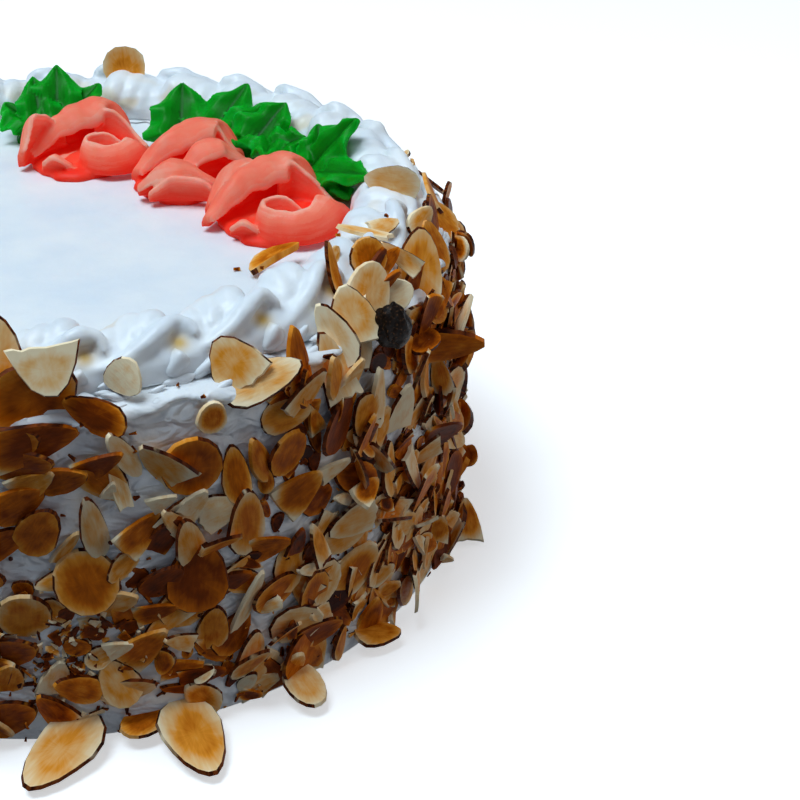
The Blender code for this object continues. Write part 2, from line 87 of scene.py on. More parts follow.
# Quads between neighbouring rings of equal length
def gridFaces(ringCount, around, loop=False, first=0):
    faces = []
    for i in range(ringCount if loop else ringCount - 1):
        j = (i + 1) % ringCount
        for k in range(around):
            m = (k + 1) % around
            corners = (i * around + k, i * around + m, j * around + m, j * around + k)
            faces.append(tuple(first + n for n in corners))
    return faces


# Turns the faces of a closed mesh outwards
def faceOut(bm):
    bmesh.ops.recalc_face_normals(bm, faces=bm.faces)
    if bm.calc_volume(signed=True) < 0:
        bmesh.ops.reverse_faces(bm, faces=bm.faces)


# Mesh object from points in mm; each extra keyword is a number for every point
def addMesh(name, points, faces, **numbers):
    mesh = bpy.data.meshes.new(name)
    mesh.from_pydata([Vector(p) * mm for p in points], [], faces)
    for key, values in numbers.items():
        mesh.attributes.new(key, "FLOAT", "POINT").data.foreach_set("value", values)
    bm = bmesh.new()
    bm.from_mesh(mesh)
    faceOut(bm)
    bm.to_mesh(mesh)
    bm.free()
    mesh.polygons.foreach_set("use_smooth", [True] * len(mesh.polygons))
    obj = bpy.data.objects.new(name, mesh)
    bpy.context.scene.collection.objects.link(obj)
    return obj


# Turns what an object's modifiers make into its plain mesh
def bake(obj):
    bpy.context.view_layer.update()
    graph = bpy.context.evaluated_depsgraph_get()
    mesh = bpy.data.meshes.new_from_object(obj.evaluated_get(graph), preserve_all_data_layers=True,
                                           depsgraph=graph)
    obj.modifiers.clear()
    obj.data = mesh
    return obj


# Sets a node's sockets, each to a value or to another node's output
def plug(tree, node, sockets):
    for key, value in sockets.items():
        if isinstance(value, bpy.types.NodeSocket):
            tree.links.new(value, node.inputs[key])
        else:
            node.inputs[key].default_value = value


# Adds a node with its sockets and settings, and gives back one output; stops are the places and colours
# of a ramp
def addNode(tree, kind, sockets, output=0, stops=(), **settings):
    node = tree.nodes.new(kind)
    for key, value in settings.items():
        setattr(node, key, value)
    plug(tree, node, sockets)
    if stops:
        ramp = node.color_ramp.elements
        ramp[0].position, ramp[1].position = stops[0][0], stops[-1][0]
        ramp[0].color, ramp[1].color = linear(stops[0][1]), linear(stops[-1][1])
        for place, colour in stops[1:-1]:
            ramp.new(place).color = linear(colour)
    return node.outputs[output]


def newMaterial(name):
    material = bpy.data.materials.new(name)
    material.use_nodes = True
    return material, material.node_tree, material.node_tree.nodes["Principled BSDF"]


# Object coordinates times 1000, so that a noise scale of 1 / n has features of n mm
def mmSpots(tree):
    spots = addNode(tree, "ShaderNodeTexCoord", {}, "Object")
    return addNode(tree, "ShaderNodeVectorMath", {0: spots, 3: 1000.0}, operation="SCALE")


# Whipped cream: soft white, matt with a slight sheen, yellow in its folds as painted shade, finely pitted and
# smeared by the spatula
def creamMaterial(name, pit, smear):
    material, tree, shader = newMaterial(name)
    spots = mmSpots(tree)
    broad = addNode(tree, "ShaderNodeTexNoise", {"Vector": spots, "Scale": 0.06, "Detail": 2.0})   # 17 mm
    body = addNode(tree, "ShaderNodeValToRGB", {"Fac": broad}, stops=[(0.3, "E4EAEF"), (0.7, "F2F3F2")])
    # per-point yellow tint: painted shade deep under the hooks of the border, and patches on its inner side
    warm = addNode(tree, "ShaderNodeAttribute", {}, "Fac", attribute_name="warm")
    fine = addNode(tree, "ShaderNodeTexNoise", {"Vector": spots, "Scale": 0.9, "Detail": 4.0})     # 1 mm
    flat = addNode(tree, "ShaderNodeMapping", {"Vector": spots, "Scale": (1.0, 1.0, 1.7)})
    strokes = addNode(tree, "ShaderNodeTexNoise",
                      {"Vector": flat, "Scale": 0.16, "Detail": 1.6, "Distortion": 0.8})   # 6 mm smears
    height = addNode(tree, "ShaderNodeSeparateXYZ", {0: spots}, 2)
    # the smears fade out on the top
    level = addNode(tree, "ShaderNodeMapRange", {"Value": height, "From Min": 86.0, "From Max": 87.6,
                                                 "To Min": smear, "To Max": smear * 0.12})
    smears = addNode(tree, "ShaderNodeBump", {"Height": strokes, "Strength": level, "Distance": 0.0036})
    plug(tree, shader, {
        "Base Color": addNode(tree, "ShaderNodeMix", {0: warm, 6: body, 7: linear("DCB03C")}, 2,
                              data_type="RGBA"),
        "Roughness": addNode(tree, "ShaderNodeMapRange", {"Value": fine, "To Min": 0.26, "To Max": 0.5}),
        "Normal": addNode(tree, "ShaderNodeBump",
                          {"Height": fine, "Strength": pit, "Distance": 0.0004, "Normal": smears}),
        "IOR": 1.45, "Subsurface Weight": 0.18, "Subsurface Scale": 0.002,
        "Subsurface Radius": (1.0, 0.9, 0.75),
    })
    return material


# Piped icing: smooth and slightly waxy, darker at its foot as painted shade and paler along its thin edge as
# a painted highlight, streaked the way it was piped; its faint own light is a painted glow that stands for
# what comes through it in the hollows
def icingMaterial(name, stops, glow, inner, innerStrength):
    material, tree, shader = newMaterial(name)
    edge, along = (addNode(tree, "ShaderNodeAttribute", {}, "Fac", attribute_name=key)
                   for key in ("edge", "along"))
    strip = addNode(tree, "ShaderNodeCombineXYZ", {0: edge, 1: along})
    lines = addNode(tree, "ShaderNodeMapping", {"Vector": strip, "Scale": (9.0, 0.07, 1.0)})   # 9 ribs
    streak = addNode(tree, "ShaderNodeTexNoise", {"Vector": lines, "Scale": 1.0, "Detail": 3.0})
    patch = addNode(tree, "ShaderNodeTexNoise",
                    {"Vector": mmSpots(tree), "Scale": 0.16, "Detail": 2.0})   # 6 mm
    shade = 0.0
    for value, share in ((edge, 0.55), (streak, 0.35), (patch, 0.25)):
        shade = addNode(tree, "ShaderNodeMath", {0: value, 1: share, 2: shade}, operation="MULTIPLY_ADD")
    plug(tree, shader, {
        # the ramp over edge paints shade at the foot and a highlight along the edge
        "Base Color": addNode(tree, "ShaderNodeValToRGB", {"Fac": shade}, stops=stops),
        "Roughness": addNode(tree, "ShaderNodeMapRange", {"Value": patch, "To Min": 0.36, "To Max": 0.5}),
        "Normal": addNode(tree, "ShaderNodeBump", {"Height": streak, "Strength": 0.3, "Distance": 0.0004}),
        "IOR": 1.4, "Specular IOR Level": 0.16,
        "Subsurface Weight": 0.6, "Subsurface Scale": 0.004, "Subsurface Radius": glow,
        "Emission Color": linear(inner), "Emission Strength": innerStrength,
    })
    return material


# Toasted almond: dry matt flesh from ivory to deep brown, in blotches, grain and rays, with a papery
# brown rim. Each slice has its own tone (how dark it is) and toast (how much darker its middle is); skin
# marks its rim, and local runs from -1 to 1 over it, so the pattern keeps to the size of the slice.
def almondMaterial():
    material, tree, shader = newMaterial("toastedAlmond")
    tone, toast, skin = (addNode(tree, "ShaderNodeAttribute", {}, "Fac", attribute_name=key)
                         for key in ("tone", "toast", "skin"))
    local = addNode(tree, "ShaderNodeAttribute", {}, "Vector", attribute_name="local")
    reach = addNode(tree, "ShaderNodeVectorMath", {0: local}, 1, operation="LENGTH")
    own = addNode(tree, "ShaderNodeVectorMath", {0: tone, 1: (0, 0, 91), 2: local}, operation="MULTIPLY_ADD")
    long = addNode(tree, "ShaderNodeMapping", {"Vector": own, "Scale": (9.0, 2.2, 1.0)})
    grain = addNode(tree, "ShaderNodeTexNoise", {"Vector": long, "Scale": 1.0, "Detail": 4.0})
    blotch = addNode(tree, "ShaderNodeTexNoise", {"Vector": own, "Scale": 1.6, "Detail": 2.0})
    fan = addNode(tree, "ShaderNodeTexGradient", {"Vector": local}, "Fac", gradient_type="RADIAL")
    spokes = addNode(tree, "ShaderNodeMapping",
                     {"Vector": addNode(tree, "ShaderNodeCombineXYZ", {0: fan, 1: reach}),
                      "Scale": (46.0, 1.0, 1.0)})
    rays = addNode(tree, "ShaderNodeTexNoise", {"Vector": spokes, "Scale": 1.0})
    square = addNode(tree, "ShaderNodeMath", {0: reach, 1: 2.0}, operation="POWER")
    untoasted = addNode(tree, "ShaderNodeMath", {0: square, 1: toast}, operation="MULTIPLY")
    margin = addNode(tree, "ShaderNodeMath", {0: reach, 1: 5.0}, operation="POWER")
    core = addNode(tree, "ShaderNodeMath", {0: reach, 1: 9.0, 2: -4.5}, operation="MULTIPLY_ADD")
    halfway = addNode(tree, "ShaderNodeMath", {0: core, 1: core, 2: 1.0}, operation="MULTIPLY_ADD")
    seam = addNode(tree, "ShaderNodeMath", {0: 0.06, 1: halfway}, operation="DIVIDE")
    depth = addNode(tree, "ShaderNodeMath", {0: tone, 1: 0.31}, operation="SUBTRACT")    # noise averages 0.5
    for value, share in ((toast, 1.0), (untoasted, -1.0), (grain, 0.16), (blotch, 0.36), (rays, 0.1),
                         (margin, -0.16), (seam, 1.0)):
        depth = addNode(tree, "ShaderNodeMath", {0: value, 1: share, 2: depth}, operation="MULTIPLY_ADD")
    flesh = addNode(tree, "ShaderNodeValToRGB", {"Fac": depth}, stops=[
        (0.0, "FFEAC2"), (0.17, "F4C484"), (0.32, "EC962C"), (0.45, "C86606"), (0.62, "7C3200"),
        (0.85, "2A0800")])
    bark = addNode(tree, "ShaderNodeValToRGB", {"Fac": grain}, stops=[(0.4, "2E0A00"), (0.65, "7A3810")])
    worn = addNode(tree, "ShaderNodeMapRange", {"Value": blotch, "From Min": 0.25, "From Max": 0.4})
    rim = addNode(tree, "ShaderNodeMath", {0: skin, 1: worn}, operation="MULTIPLY")
    plug(tree, shader, {
        "Base Color": addNode(tree, "ShaderNodeMix", {0: rim, 6: flesh, 7: bark}, 2, data_type="RGBA"),
        "Roughness": addNode(tree, "ShaderNodeMapRange", {"Value": grain, "To Min": 0.38, "To Max": 0.6}),
        "Normal": addNode(tree, "ShaderNodeBump", {"Height": grain, "Strength": 0.35, "Distance": 0.0003}),
        "IOR": 1.45, "Specular IOR Level": 0.07,
    })
    return material


# Dried fruit: nearly black, dull, with pale dusty specks under 1 mm
def raisinMaterial():
    material, tree, shader = newMaterial("driedFruit")
    specks = addNode(tree, "ShaderNodeTexNoise", {"Vector": mmSpots(tree), "Scale": 1.6, "Detail": 3.0})
    plug(tree, shader, {
        "Base Color": addNode(tree, "ShaderNodeValToRGB", {"Fac": specks},
                              stops=[(0.4, "0C0603"), (0.6, "20120A"), (0.72, "6A4A30")]),
        "Normal": addNode(tree, "ShaderNodeBump", {"Height": specks, "Strength": 0.5, "Distance": 0.0005}),
        "IOR": 1.45, "Roughness": 0.45, "Specular IOR Level": 0.12,
    })
    return material


bodyCream = creamMaterial("whippedCreamBody", 0.25, 0.55)
borderCream = creamMaterial("whippedCreamBorder", 0.12, 0.12)
# low stops: painted shade at the foot; high stops: painted highlight along the edge; last two values: painted
# glow
coral = icingMaterial("coralIcing", [(0.2, "FF1C08"), (0.42, "FF5038"), (0.7, "FF8468"), (0.92, "FFB8A0")],
                      (1.0, 0.12, 0.08), "F40C02", 0.062)
green = icingMaterial("greenIcing", [(0.2, "004600"), (0.45, "007E0A"), (0.75, "009C1C"), (0.95, "0EB43C")],
                      (0.15, 1.0, 0.2), "008A10", 0.03)
almond = almondMaterial()
print("materials:", len(bpy.data.materials))


# Cream-covered body
drum = {
    "topRadius": 102, "footRadius": 104.5, "height": 88, "lipRound": 5, "footRound": 2,
    "around": 460,            # points round the side
    "rows": 74,               # rows up the side
    "unevenness": 0.6,        # how far the spatula left the cream out of true
    "dab": 1.0,               # small smears of cream on the side
    "ledge": 1.5,             # ragged ridge of cream along the lip
    "topDip": 0.25,           # how far the top dips
}
gap = 0.3
topZ = drum["height"]


def sideRadius(height):
    share = min(max(height / drum["height"], 0), 1)
    return drum["footRadius"] + (drum["topRadius"] - drum["footRadius"]) * share


def drumProfile():
    rows = []
    foot, lip = drum["footRound"], drum["lipRound"]
    for step in range(4):
        turn = math.radians(30 * step)
        rows.append((drum["footRadius"] - foot * (1 - math.sin(turn)), foot * (1 - math.cos(turn))))
    for step in range(1, drum["rows"] + 1):
        height = foot + (topZ - lip - foot) * step / drum["rows"]
        rows.append((sideRadius(height), height))
    for step in range(1, 13):
        turn = math.radians(90 * step / 12)
        rows.append((drum["topRadius"] - lip * (1 - math.cos(turn)), topZ - lip * (1 - math.sin(turn))))
    for step in range(1, 24):
        rows.append(((drum["topRadius"] - lip) * (1 - step / 24), topZ))
    return rows


def drumSpot(azimuth, radius, height):
    outward = radial(azimuth)
    spot = outward * radius + up * height
    side = ease(height, 1.5, 6) * (1 - ease(height, topZ - 3, topZ - 0.5))
    if height > 1:
        swell = drum["unevenness"] * (wave(spot, 24, 1) + 0.5 * wave(spot, 8, 2) + 0.2 * wave(spot, 3, 9))
        swell += drum["dab"] * ease(wave(spot, 10, 3), 0.15, 0.5) * ease(wave(spot, 3.5, 4), -0.3, 0.3)
        radius += side * swell
        rim = outward * 100
        low = topZ - 4.5 + 3.4 * wave(rim, 14, 5) + 1.8 * wave(rim, 4, 6)
        radius += drum["ledge"] * ease(height, low, low + 0.8) * (1 - ease(height, topZ - 1.2, topZ))
    if height > topZ - 0.01:
        height -= drum["topDip"] * (1 + wave(spot, 30, 7)) * (1 - ease(radius, 60, 95))
        height -= 0.06 * (1 + wave(spot, 6, 8))
    return outward * radius + up * height


def makeDrum():
    rows = drumProfile()
    around = drum["around"]
    points = [drumSpot(360 * k / around, radius, height) for radius, height in rows for k in range(around)]
    faces = gridFaces(len(rows), around)
    points += [Vector((0, 0, 0)), Vector((0, 0, topZ - drum["topDip"]))]
    last = (len(rows) - 1) * around
    for k in range(around):
        m = (k + 1) % around
        faces.append((m, k, len(points) - 2))
        faces.append((last + k, last + m, len(points) - 1))
    obj = addMesh("creamBody", points, faces, warm=[0.0] * len(points))
    obj.data.materials.append(bodyCream)
    return obj


creamBody = makeDrum()
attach(creamBody, "root")
print("cream body:", len(creamBody.data.polygons), "faces")


# Catmull-Rom points through a list of vectors
def curveThrough(keys, steps):
    padded = [keys[0] * 2 - keys[1]] + keys + [keys[-1] * 2 - keys[-2]]
    result = []
    for i in range(1, len(padded) - 2):
        a, b, c, d = padded[i - 1:i + 3]
        for step in range(steps):
            t = step / steps
            result.append(0.5 * (b * 2 + (c - a) * t + (a * 2 - b * 5 + c * 4 - d) * t * t
                                 + (b * 3 - a - c * 3 + d) * t * t * t))
    return result + [keys[-1].copy()]


# Closed rings with flat ends, as points, faces and for each point its edge share and its way along
def skin(rings, edges, alongs, tip=None):
    around = len(rings[0])
    points = [p for ring in rings for p in ring]
    edgeValues = list(edges) * len(rings)
    alongValues = [a for a in alongs for _ in range(around)]
    faces = gridFaces(len(rings), around) + [tuple(range(around))]
    last = len(points) - around
    if tip is None:
        faces.append(tuple(range(last, last + around)))
    else:
        points.append(tip)
        edgeValues.append(1.0)
        alongValues.append(alongs[-1])
        faces += [(last + k, last + (k + 1) % around, len(points) - 1) for k in range(around)]
    return points, faces, edgeValues, alongValues


# Piped border: a plain strand with the folds of each shell laid over it
border = {
    "seed": 5, "shells": 28, "radius": 86.5,
    "halfWidth": 9.9, "height": 9.0,          # plain strand below the folds
    "ahead": 0.084,           # place of each crest, in shells
    "wander": 0.45,           # unevenness of the folds
    "film": 1.6,              # thin edge that spreads over the top
    "voxel": 0.77, "smooth": 2,
}

# Folds of one shell: way along the ring from its crest, way out from the ring's middle, height and radius
# of the fold
shellFolds = [
    [(-20, 7.2, 4.6, 1.3), (-15.5, 7.6, 4.9, 1.7), (-10.5, 7.0, 6.6, 2.0), (-6, 5.6, 9.2, 2.2),
     (-2.2, 3.9, 11.1, 2.2), (0.8, 3.2, 11.3, 2.0), (2.9, 3.9, 10.0, 1.6), (3.7, 5.4, 8.0, 1.0)],
    [(-2, -8.4, 2.6, 2.4), (-3, -6.8, 5.4, 3.4), (-4, -3.6, 8.6, 4.0), (-5.4, 0, 9.2, 3.3),
     (-7.5, 3, 7.8, 2.2)],
    [(-6.5, -8.6, 2.5, 2.4), (-7.5, -6.6, 5.2, 3.4), (-8.6, -3.4, 7.9, 3.8), (-10, 0.4, 8.3, 3.2),
     (-12, 3.6, 7, 2.1)],
    [(-11, -8.6, 2.3, 2.2), (-12, -6.4, 4.7, 3.1), (-13, -3.2, 6.6, 3.4), (-14.2, 0.8, 7.1, 2.9),
     (-16, 4.2, 5.8, 1.9)],
]


def borderPlace(shell, along, out, height):
    azimuth = 360 * (shell + border["ahead"]) / border["shells"] + math.degrees(along / border["radius"])
    return radial(azimuth) * (border["radius"] + out) + up * (topZ + gap + height)


# Closed tube along a shell's fold
def fold(shell, keys):
    path = curveThrough([Vector(key) for key in keys], 5)
    spots = [borderPlace(shell, key[0], key[1], key[2]) for key in path]
    rings, sides = [], 12
    beside = spots[0].normalized()
    for i, spot in enumerate(spots):
        along = (spots[min(i + 1, len(spots) - 1)] - spots[max(i - 1, 0)]).normalized()
        beside = (beside - along * beside.dot(along)).normalized()
        other = along.cross(beside)
        angles = [2 * math.pi * k / sides for k in range(sides)]
        rings.append([spot + (beside * math.cos(t) + other * math.sin(t)) * path[i][3] for t in angles])
    return skin(rings, [0.0] * sides, [0.0] * len(rings))[:2]


# Half-round ring from an outer to an inner edge, flat below
def strand(stations, spotAt):
    rings = [spotAt(360 * i / stations) for i in range(stations)]
    return [p for ring in rings for p in ring], gridFaces(stations, len(rings[0]), loop=True)


def strandRing(azimuth):
    ring = []
    for k in range(19):
        turn = math.pi * k / 18
        out = border["halfWidth"] * math.cos(turn) * (1 + 0.05 * wave(radial(azimuth) * 90, 9, 13))
        height = border["height"] * math.sin(turn) ** 0.8
        ring.append(radial(azimuth) * (border["radius"] + out) + up * (topZ + gap + height))
    return ring


def filmRing(azimuth):
    shell = azimuth * border["shells"] / 360 - border["ahead"]
    scallop = abs(math.sin(math.pi * (shell + 0.72))) ** 0.6
    rim = radial(azimuth) * 90
    reach = border["film"] * (0.2 + scallop + 0.5 * wave(rim, 3, 18) + 0.3 * wave(rim, 1.3, 19))
    edge = border["radius"] - border["halfWidth"] - max(reach, 0.1)
    return [radial(azimuth) * r + up * (topZ + h)
            for r, h in ((84, 0.6), (edge + 0.5, 0.35), (edge, 0.1), (84, -0.3))]


# Tapered curl of cream: a strip that cups across and arches along its length
def blade(start, along, across, length, width, thickness, arch, cup, fullness, stations=9, half=4):
    out = across.cross(along).normalized()
    points = [start]
    for i in range(1, stations):
        share = i / stations
        broad = width / 2 * math.sin(math.pi * share) ** fullness
        broad *= 1 + 0.45 * wave(start + along * length * share, 2.2, 23)
        centre = start + along * length * share + out * arch * math.sin(math.pi * share)
        row = []
        for k in range(-half, half + 1):
            x = k / half
            row.append(centre + across * x * broad - out * cup * x * x * broad / width * 2)
        thin = thickness / 2 * (1 - share * 0.5)
        points += [p + out * thin * (1 - (k / half - 1) ** 2 * 0.8) for k, p in enumerate(row)]
        points += [p - out * thin * (1 - (k / half - 1) ** 2 * 0.8)
                   for k, p in reversed(list(enumerate(row)))]
    around = 4 * half + 2
    points.append(start + along * length)
    faces = [(0, 1 + k, 1 + (k + 1) % around) for k in range(around)]
    faces += gridFaces(stations - 1, around, first=1)
    last = 1 + (stations - 2) * around
    faces += [(last + (k + 1) % around, last + k, len(points) - 1) for k in range(around)]
    return points, faces


# On the border: azimuth, distance from the axis, height above the top, length, width, turn, lean, roll,
# kind, tone, toast, and where the slice doesn't face straight out the azimuth that it faces
borderSlices = [
    (-11, 96, 10.5, 20, 15, 5, -24, 4, 0, 0.22, 0.02),
    (-6, 100.2, 3.2, 20, 17, 70, -14, 0, 1, 0.38, 0.12),
    (-3.9, 101.4, 10, 11.5, 16, 176, 22, 0, 12, 0.04, 0.04),
    (5.2, 98.5, 4.6, 9, 8.5, 140, 24, 4, 2, 0.02, 0.0),
    (1, 102.8, -1, 15, 8, -60, -14, 8, 2, 0.5, 0.1),
    (19.3, 99.5, 3.4, 13, 14, -32, -28, 0, 5, 0.2, 0.04, 5),
    (22, 103, -0.4, 20, 10, 76, 0, -46, 0, 0.1, 0.14, 10),
    (27.8, 103, -0.8, 20, 9, -8, -12, 50, 2, 0.45, 0.05, 0),
    (33.7, 102.5, -5, 18, 10, -14, -20, 14, 12, 0.16, 0.04, 12),
    (38, 101, 4.5, 15, 14, -10, -28, 0, 4, 0.12, 0.1, 8),
    (56.5, 100.5, 3, 21, 13, 14, -22, -10, 0, 0.24, 0.08, 12),
    (73, 87.5, 14.2, 15, 10, 80, -80, 8, 0, 0.18, 0.02),
    (164.5, 88, 11.5, 17, 13, 188, 0, -12, 0, 0.27, 0.0),
    (222, 97, 8, 16, 11, 30, -30, 8, 1, 0.3, 0.1),
    (290, 97, 8.5, 17, 12, -25, -28, 8, 0, 0.2, 0.1),
    (328, 97, 8, 15, 11, 70, 0, -34, 2, 0.35, 0.05),
    # smaller ones between them
    (38.5, 100.5, -1.5, 17, 13, 168, 24, -6, 12, 0.06, 0.03, 8),
    (35.2, 100, 1, 17, 9, -20, -24, -20, 2, 0.06, 0.0, 8),
    (43.4, 99, 7, 14, 13, 30, -30, 0, 11, 0.16, 0.06, 15),
    (46.8, 95, 12, 10, 9.5, 0, -20, 0, 3, 0.36, 0.1, 8),
    (47, 100.5, 2.8, 12.5, 9.5, 72, -4, -28, 11, 0.02, 0.04, 6),
    (66, 96.5, 8.5, 10, 7, 60, -20, -10, 2, 0.16, 0.1, 20),
    (50.5, 97, 9.5, 8, 5, 60, -20, -30, 9, 0.5, 0.0, 10),
    (40.5, 92.5, 11.8, 15, 5, -8, -24, 50, 0, 0.3, 0.1, 5),
    (44.5, 87.5, 12, 5.5, 3, 30, -30, 0, 8, 0.26, 0.0, 0),
    (54, 87.5, 12.6, 15, 4.5, 4, -86, 0, 8, 0.2, 0.0),
    (58, 90.5, 12, 8.5, 5.5, 84, -14, -50, 9, 0.2, 0.0, 5),
    (47.5, 97, 10.5, 8, 6, 30, -20, 30, 9, 0.7, 0.0, 5),
    (46, 99.5, 6, 12, 4, 60, -10, 20, 8, 0.55, 0.0, 5),
    (53, 98, 8.5, 12, 5, -50, -20, 10, 6, 0.22, 0.0, 5),
    (55, 100.5, 0.5, 12, 9, 40, -20, 10, 1, 0.5, 0.05, 20),
    (66, 100, 2, 15, 9, -10, -20, 10, 2, 0.36, 0.05, 30),
    (70, 98, 7, 13, 8, 40, -34, 10, 1, 0.5, 0.05, 35),
    (79, 98, 7, 13, 9, 30, -40, 10, 2, 0.34, 0.05, 50),
    (76, 100, 2, 14, 10, -30, -30, 10, 0, 0.3, 0.08, 50),
]


def wrapped(azimuth):
    return (azimuth + 180) % 360 - 180


curls = {
    "seed": 31,
    "thickness": 0.7,         # of the thin tails
    "flap": 1.1,              # thickness of the flaps below each crest
    "tails": 6,               # thin tails along the outer foot for each shell
}


def creamCurls():
    draw = random.Random(curls["seed"])
    made = []

    # A strip round its middle; turn is its way on the flank and tip how far its face looks up
    def strip(azimuth, radius, height, turn, tip, length, width, arch, cup, fullness, thickness, *fineness):
        outward = radial(azimuth)
        turn, tip = math.radians(turn), math.radians(tip)
        along = up.cross(outward) * math.cos(turn) + up * math.sin(turn)
        normal = outward * math.cos(tip) + up * math.sin(tip)
        normal = (normal - along * along.dot(normal)).normalized()
        middle = outward * radius + up * (topZ + height)
        made.append(blade(middle - along * length / 2, along, along.cross(normal), length, width,
                          thickness, arch, cup, fullness, *fineness))

    for i in range(border["shells"]):
        tipAzimuth = 360 * (i + border["ahead"] + draw.uniform(-0.06, 0.06)) / border["shells"]
        size = draw.uniform(0.75, 1.1)
        strip(tipAzimuth - 1.2, 96, 4.6, draw.uniform(30, 55), 50, 6.5 * size, 5 * size, 0.5,
              draw.uniform(1.4, 2.6), 0.35, curls["flap"])
        size = draw.uniform(0.7, 1.2)
        strip(tipAzimuth + 3, 96.2, 2.4, draw.uniform(10, 35), 40, 7 * size, 3.4 * size,
              0.8, 1.6, 0.45, curls["flap"])
        for _ in range(curls["tails"]):
            radius = draw.uniform(96.5, 101.5)
            height = -5 * (1 - math.sqrt(max(1 - ((radius - 97) / 5) ** 2, 0)))
            turn = draw.choice((0, 180)) + draw.uniform(-22, 22)
            strip(tipAzimuth + draw.uniform(-7, 7), radius, height + draw.uniform(0.1, 0.9), turn,
                  draw.uniform(25, 75), draw.uniform(4, 12), draw.uniform(1.4, 3.6), 0.4, 0.5, 0.8,
                  curls["thickness"], 7, 2)
    return made


# Yellow tint deep under each hook of cream, which is painted shade, and in patches on the inner side
def warmth(spot):
    azimuth = math.degrees(math.atan2(spot.x, -spot.y))
    shell = azimuth * border["shells"] / 360 - border["ahead"]
    along = (shell - round(shell)) * 2 * math.pi * border["radius"] / border["shells"]
    out = math.hypot(spot.x, spot.y) - border["radius"]
    height = spot.z - topZ
    hook = 0.95 * math.exp(-((along + 0.6) / 2.0) ** 2 - ((out - 5.6) / 2.4) ** 2
                           - ((height - 7.4) / 1.8) ** 2)
    patch = ease(wave((spot.x, spot.y, height * 1.5), 8, 61), 0.02, 0.3)
    inner = 0.4 * patch * ease(-out, 0, 3) * math.exp(-((height - 6.5) / 4) ** 2)
    return hook + inner


def joined(shapes):
    points, faces = [], []
    for shapePoints, shapeFaces in shapes:
        faces += [tuple(len(points) + n for n in face) for face in shapeFaces]
        points += shapePoints
    return points, faces


# Makes one skin of overlapping closed shapes
def melt(obj, voxel, smooth):
    remesh = obj.modifiers.new("fuse", "REMESH")
    remesh.mode = "VOXEL"
    remesh.voxel_size = voxel * mm
    remesh.use_smooth_shade = True
    relax = obj.modifiers.new("relax", "SMOOTH")
    relax.iterations = smooth
    relax.factor = 0.5
    return bake(obj)


def makeBorder():
    draw = random.Random(border["seed"])
    wander = border["wander"]
    shapes = [strand(border["shells"] * 8, strandRing)]
    for i in range(border["shells"]):
        size = draw.uniform(0.94, 1.06)
        for keys in shellFolds:
            moved = [(a + draw.gauss(0, wander), o + draw.gauss(0, wander),
                      h * size + draw.gauss(0, wander) * 0.6, r * draw.uniform(0.92, 1.08))
                     for a, o, h, r in keys]
            shapes.append(fold(i, moved))
    folds = melt(addMesh("folds", *joined(shapes)), border["voxel"], border["smooth"])
    points = [v.co / mm for v in folds.data.vertices]
    points = [p + v.normal * 0.3 * wave(p, 3, 15) for p, v in zip(points, folds.data.vertices)]
    shapes = [(points, [tuple(face.vertices) for face in folds.data.polygons])]
    shapes += [strand(border["shells"] * 30, filmRing)] + creamCurls()
    bpy.data.objects.remove(folds)
    points, faces = joined(shapes)
    # the yellow tint is painted shade under each hook, with patches on the inner side
    obj = addMesh("creamBorder", points, faces, warm=[warmth(p) for p in points])
    obj.data.materials.append(borderCream)
    return obj


creamBorder = makeBorder()
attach(creamBorder, "root")
print("border:", len(creamBorder.data.polygons), "faces")


# Piped flowers and leaves
icing = {
    "voxel": 0.45,            # the pieces of one flower or cluster are fused at this fineness
    "ribbonSmooth": 7, "leafSmooth": 3,
    "ribbonThickness": 2.5, "ribbonFoot": 1.3, "keySteps": 12, "stations": 16,
    "edgeWave": 16,           # degrees that the free edge of a ribbon wavers
    "groove": 1.9,            # depth of the crease along a folded ribbon
    "leafFoot": 3.0, "leafSteps": 30,
    "leafRuffle": 2.2,        # how far a leaf's margin waves
    "leafLift": 0.23,         # how much higher each next leaf of a cluster starts
}

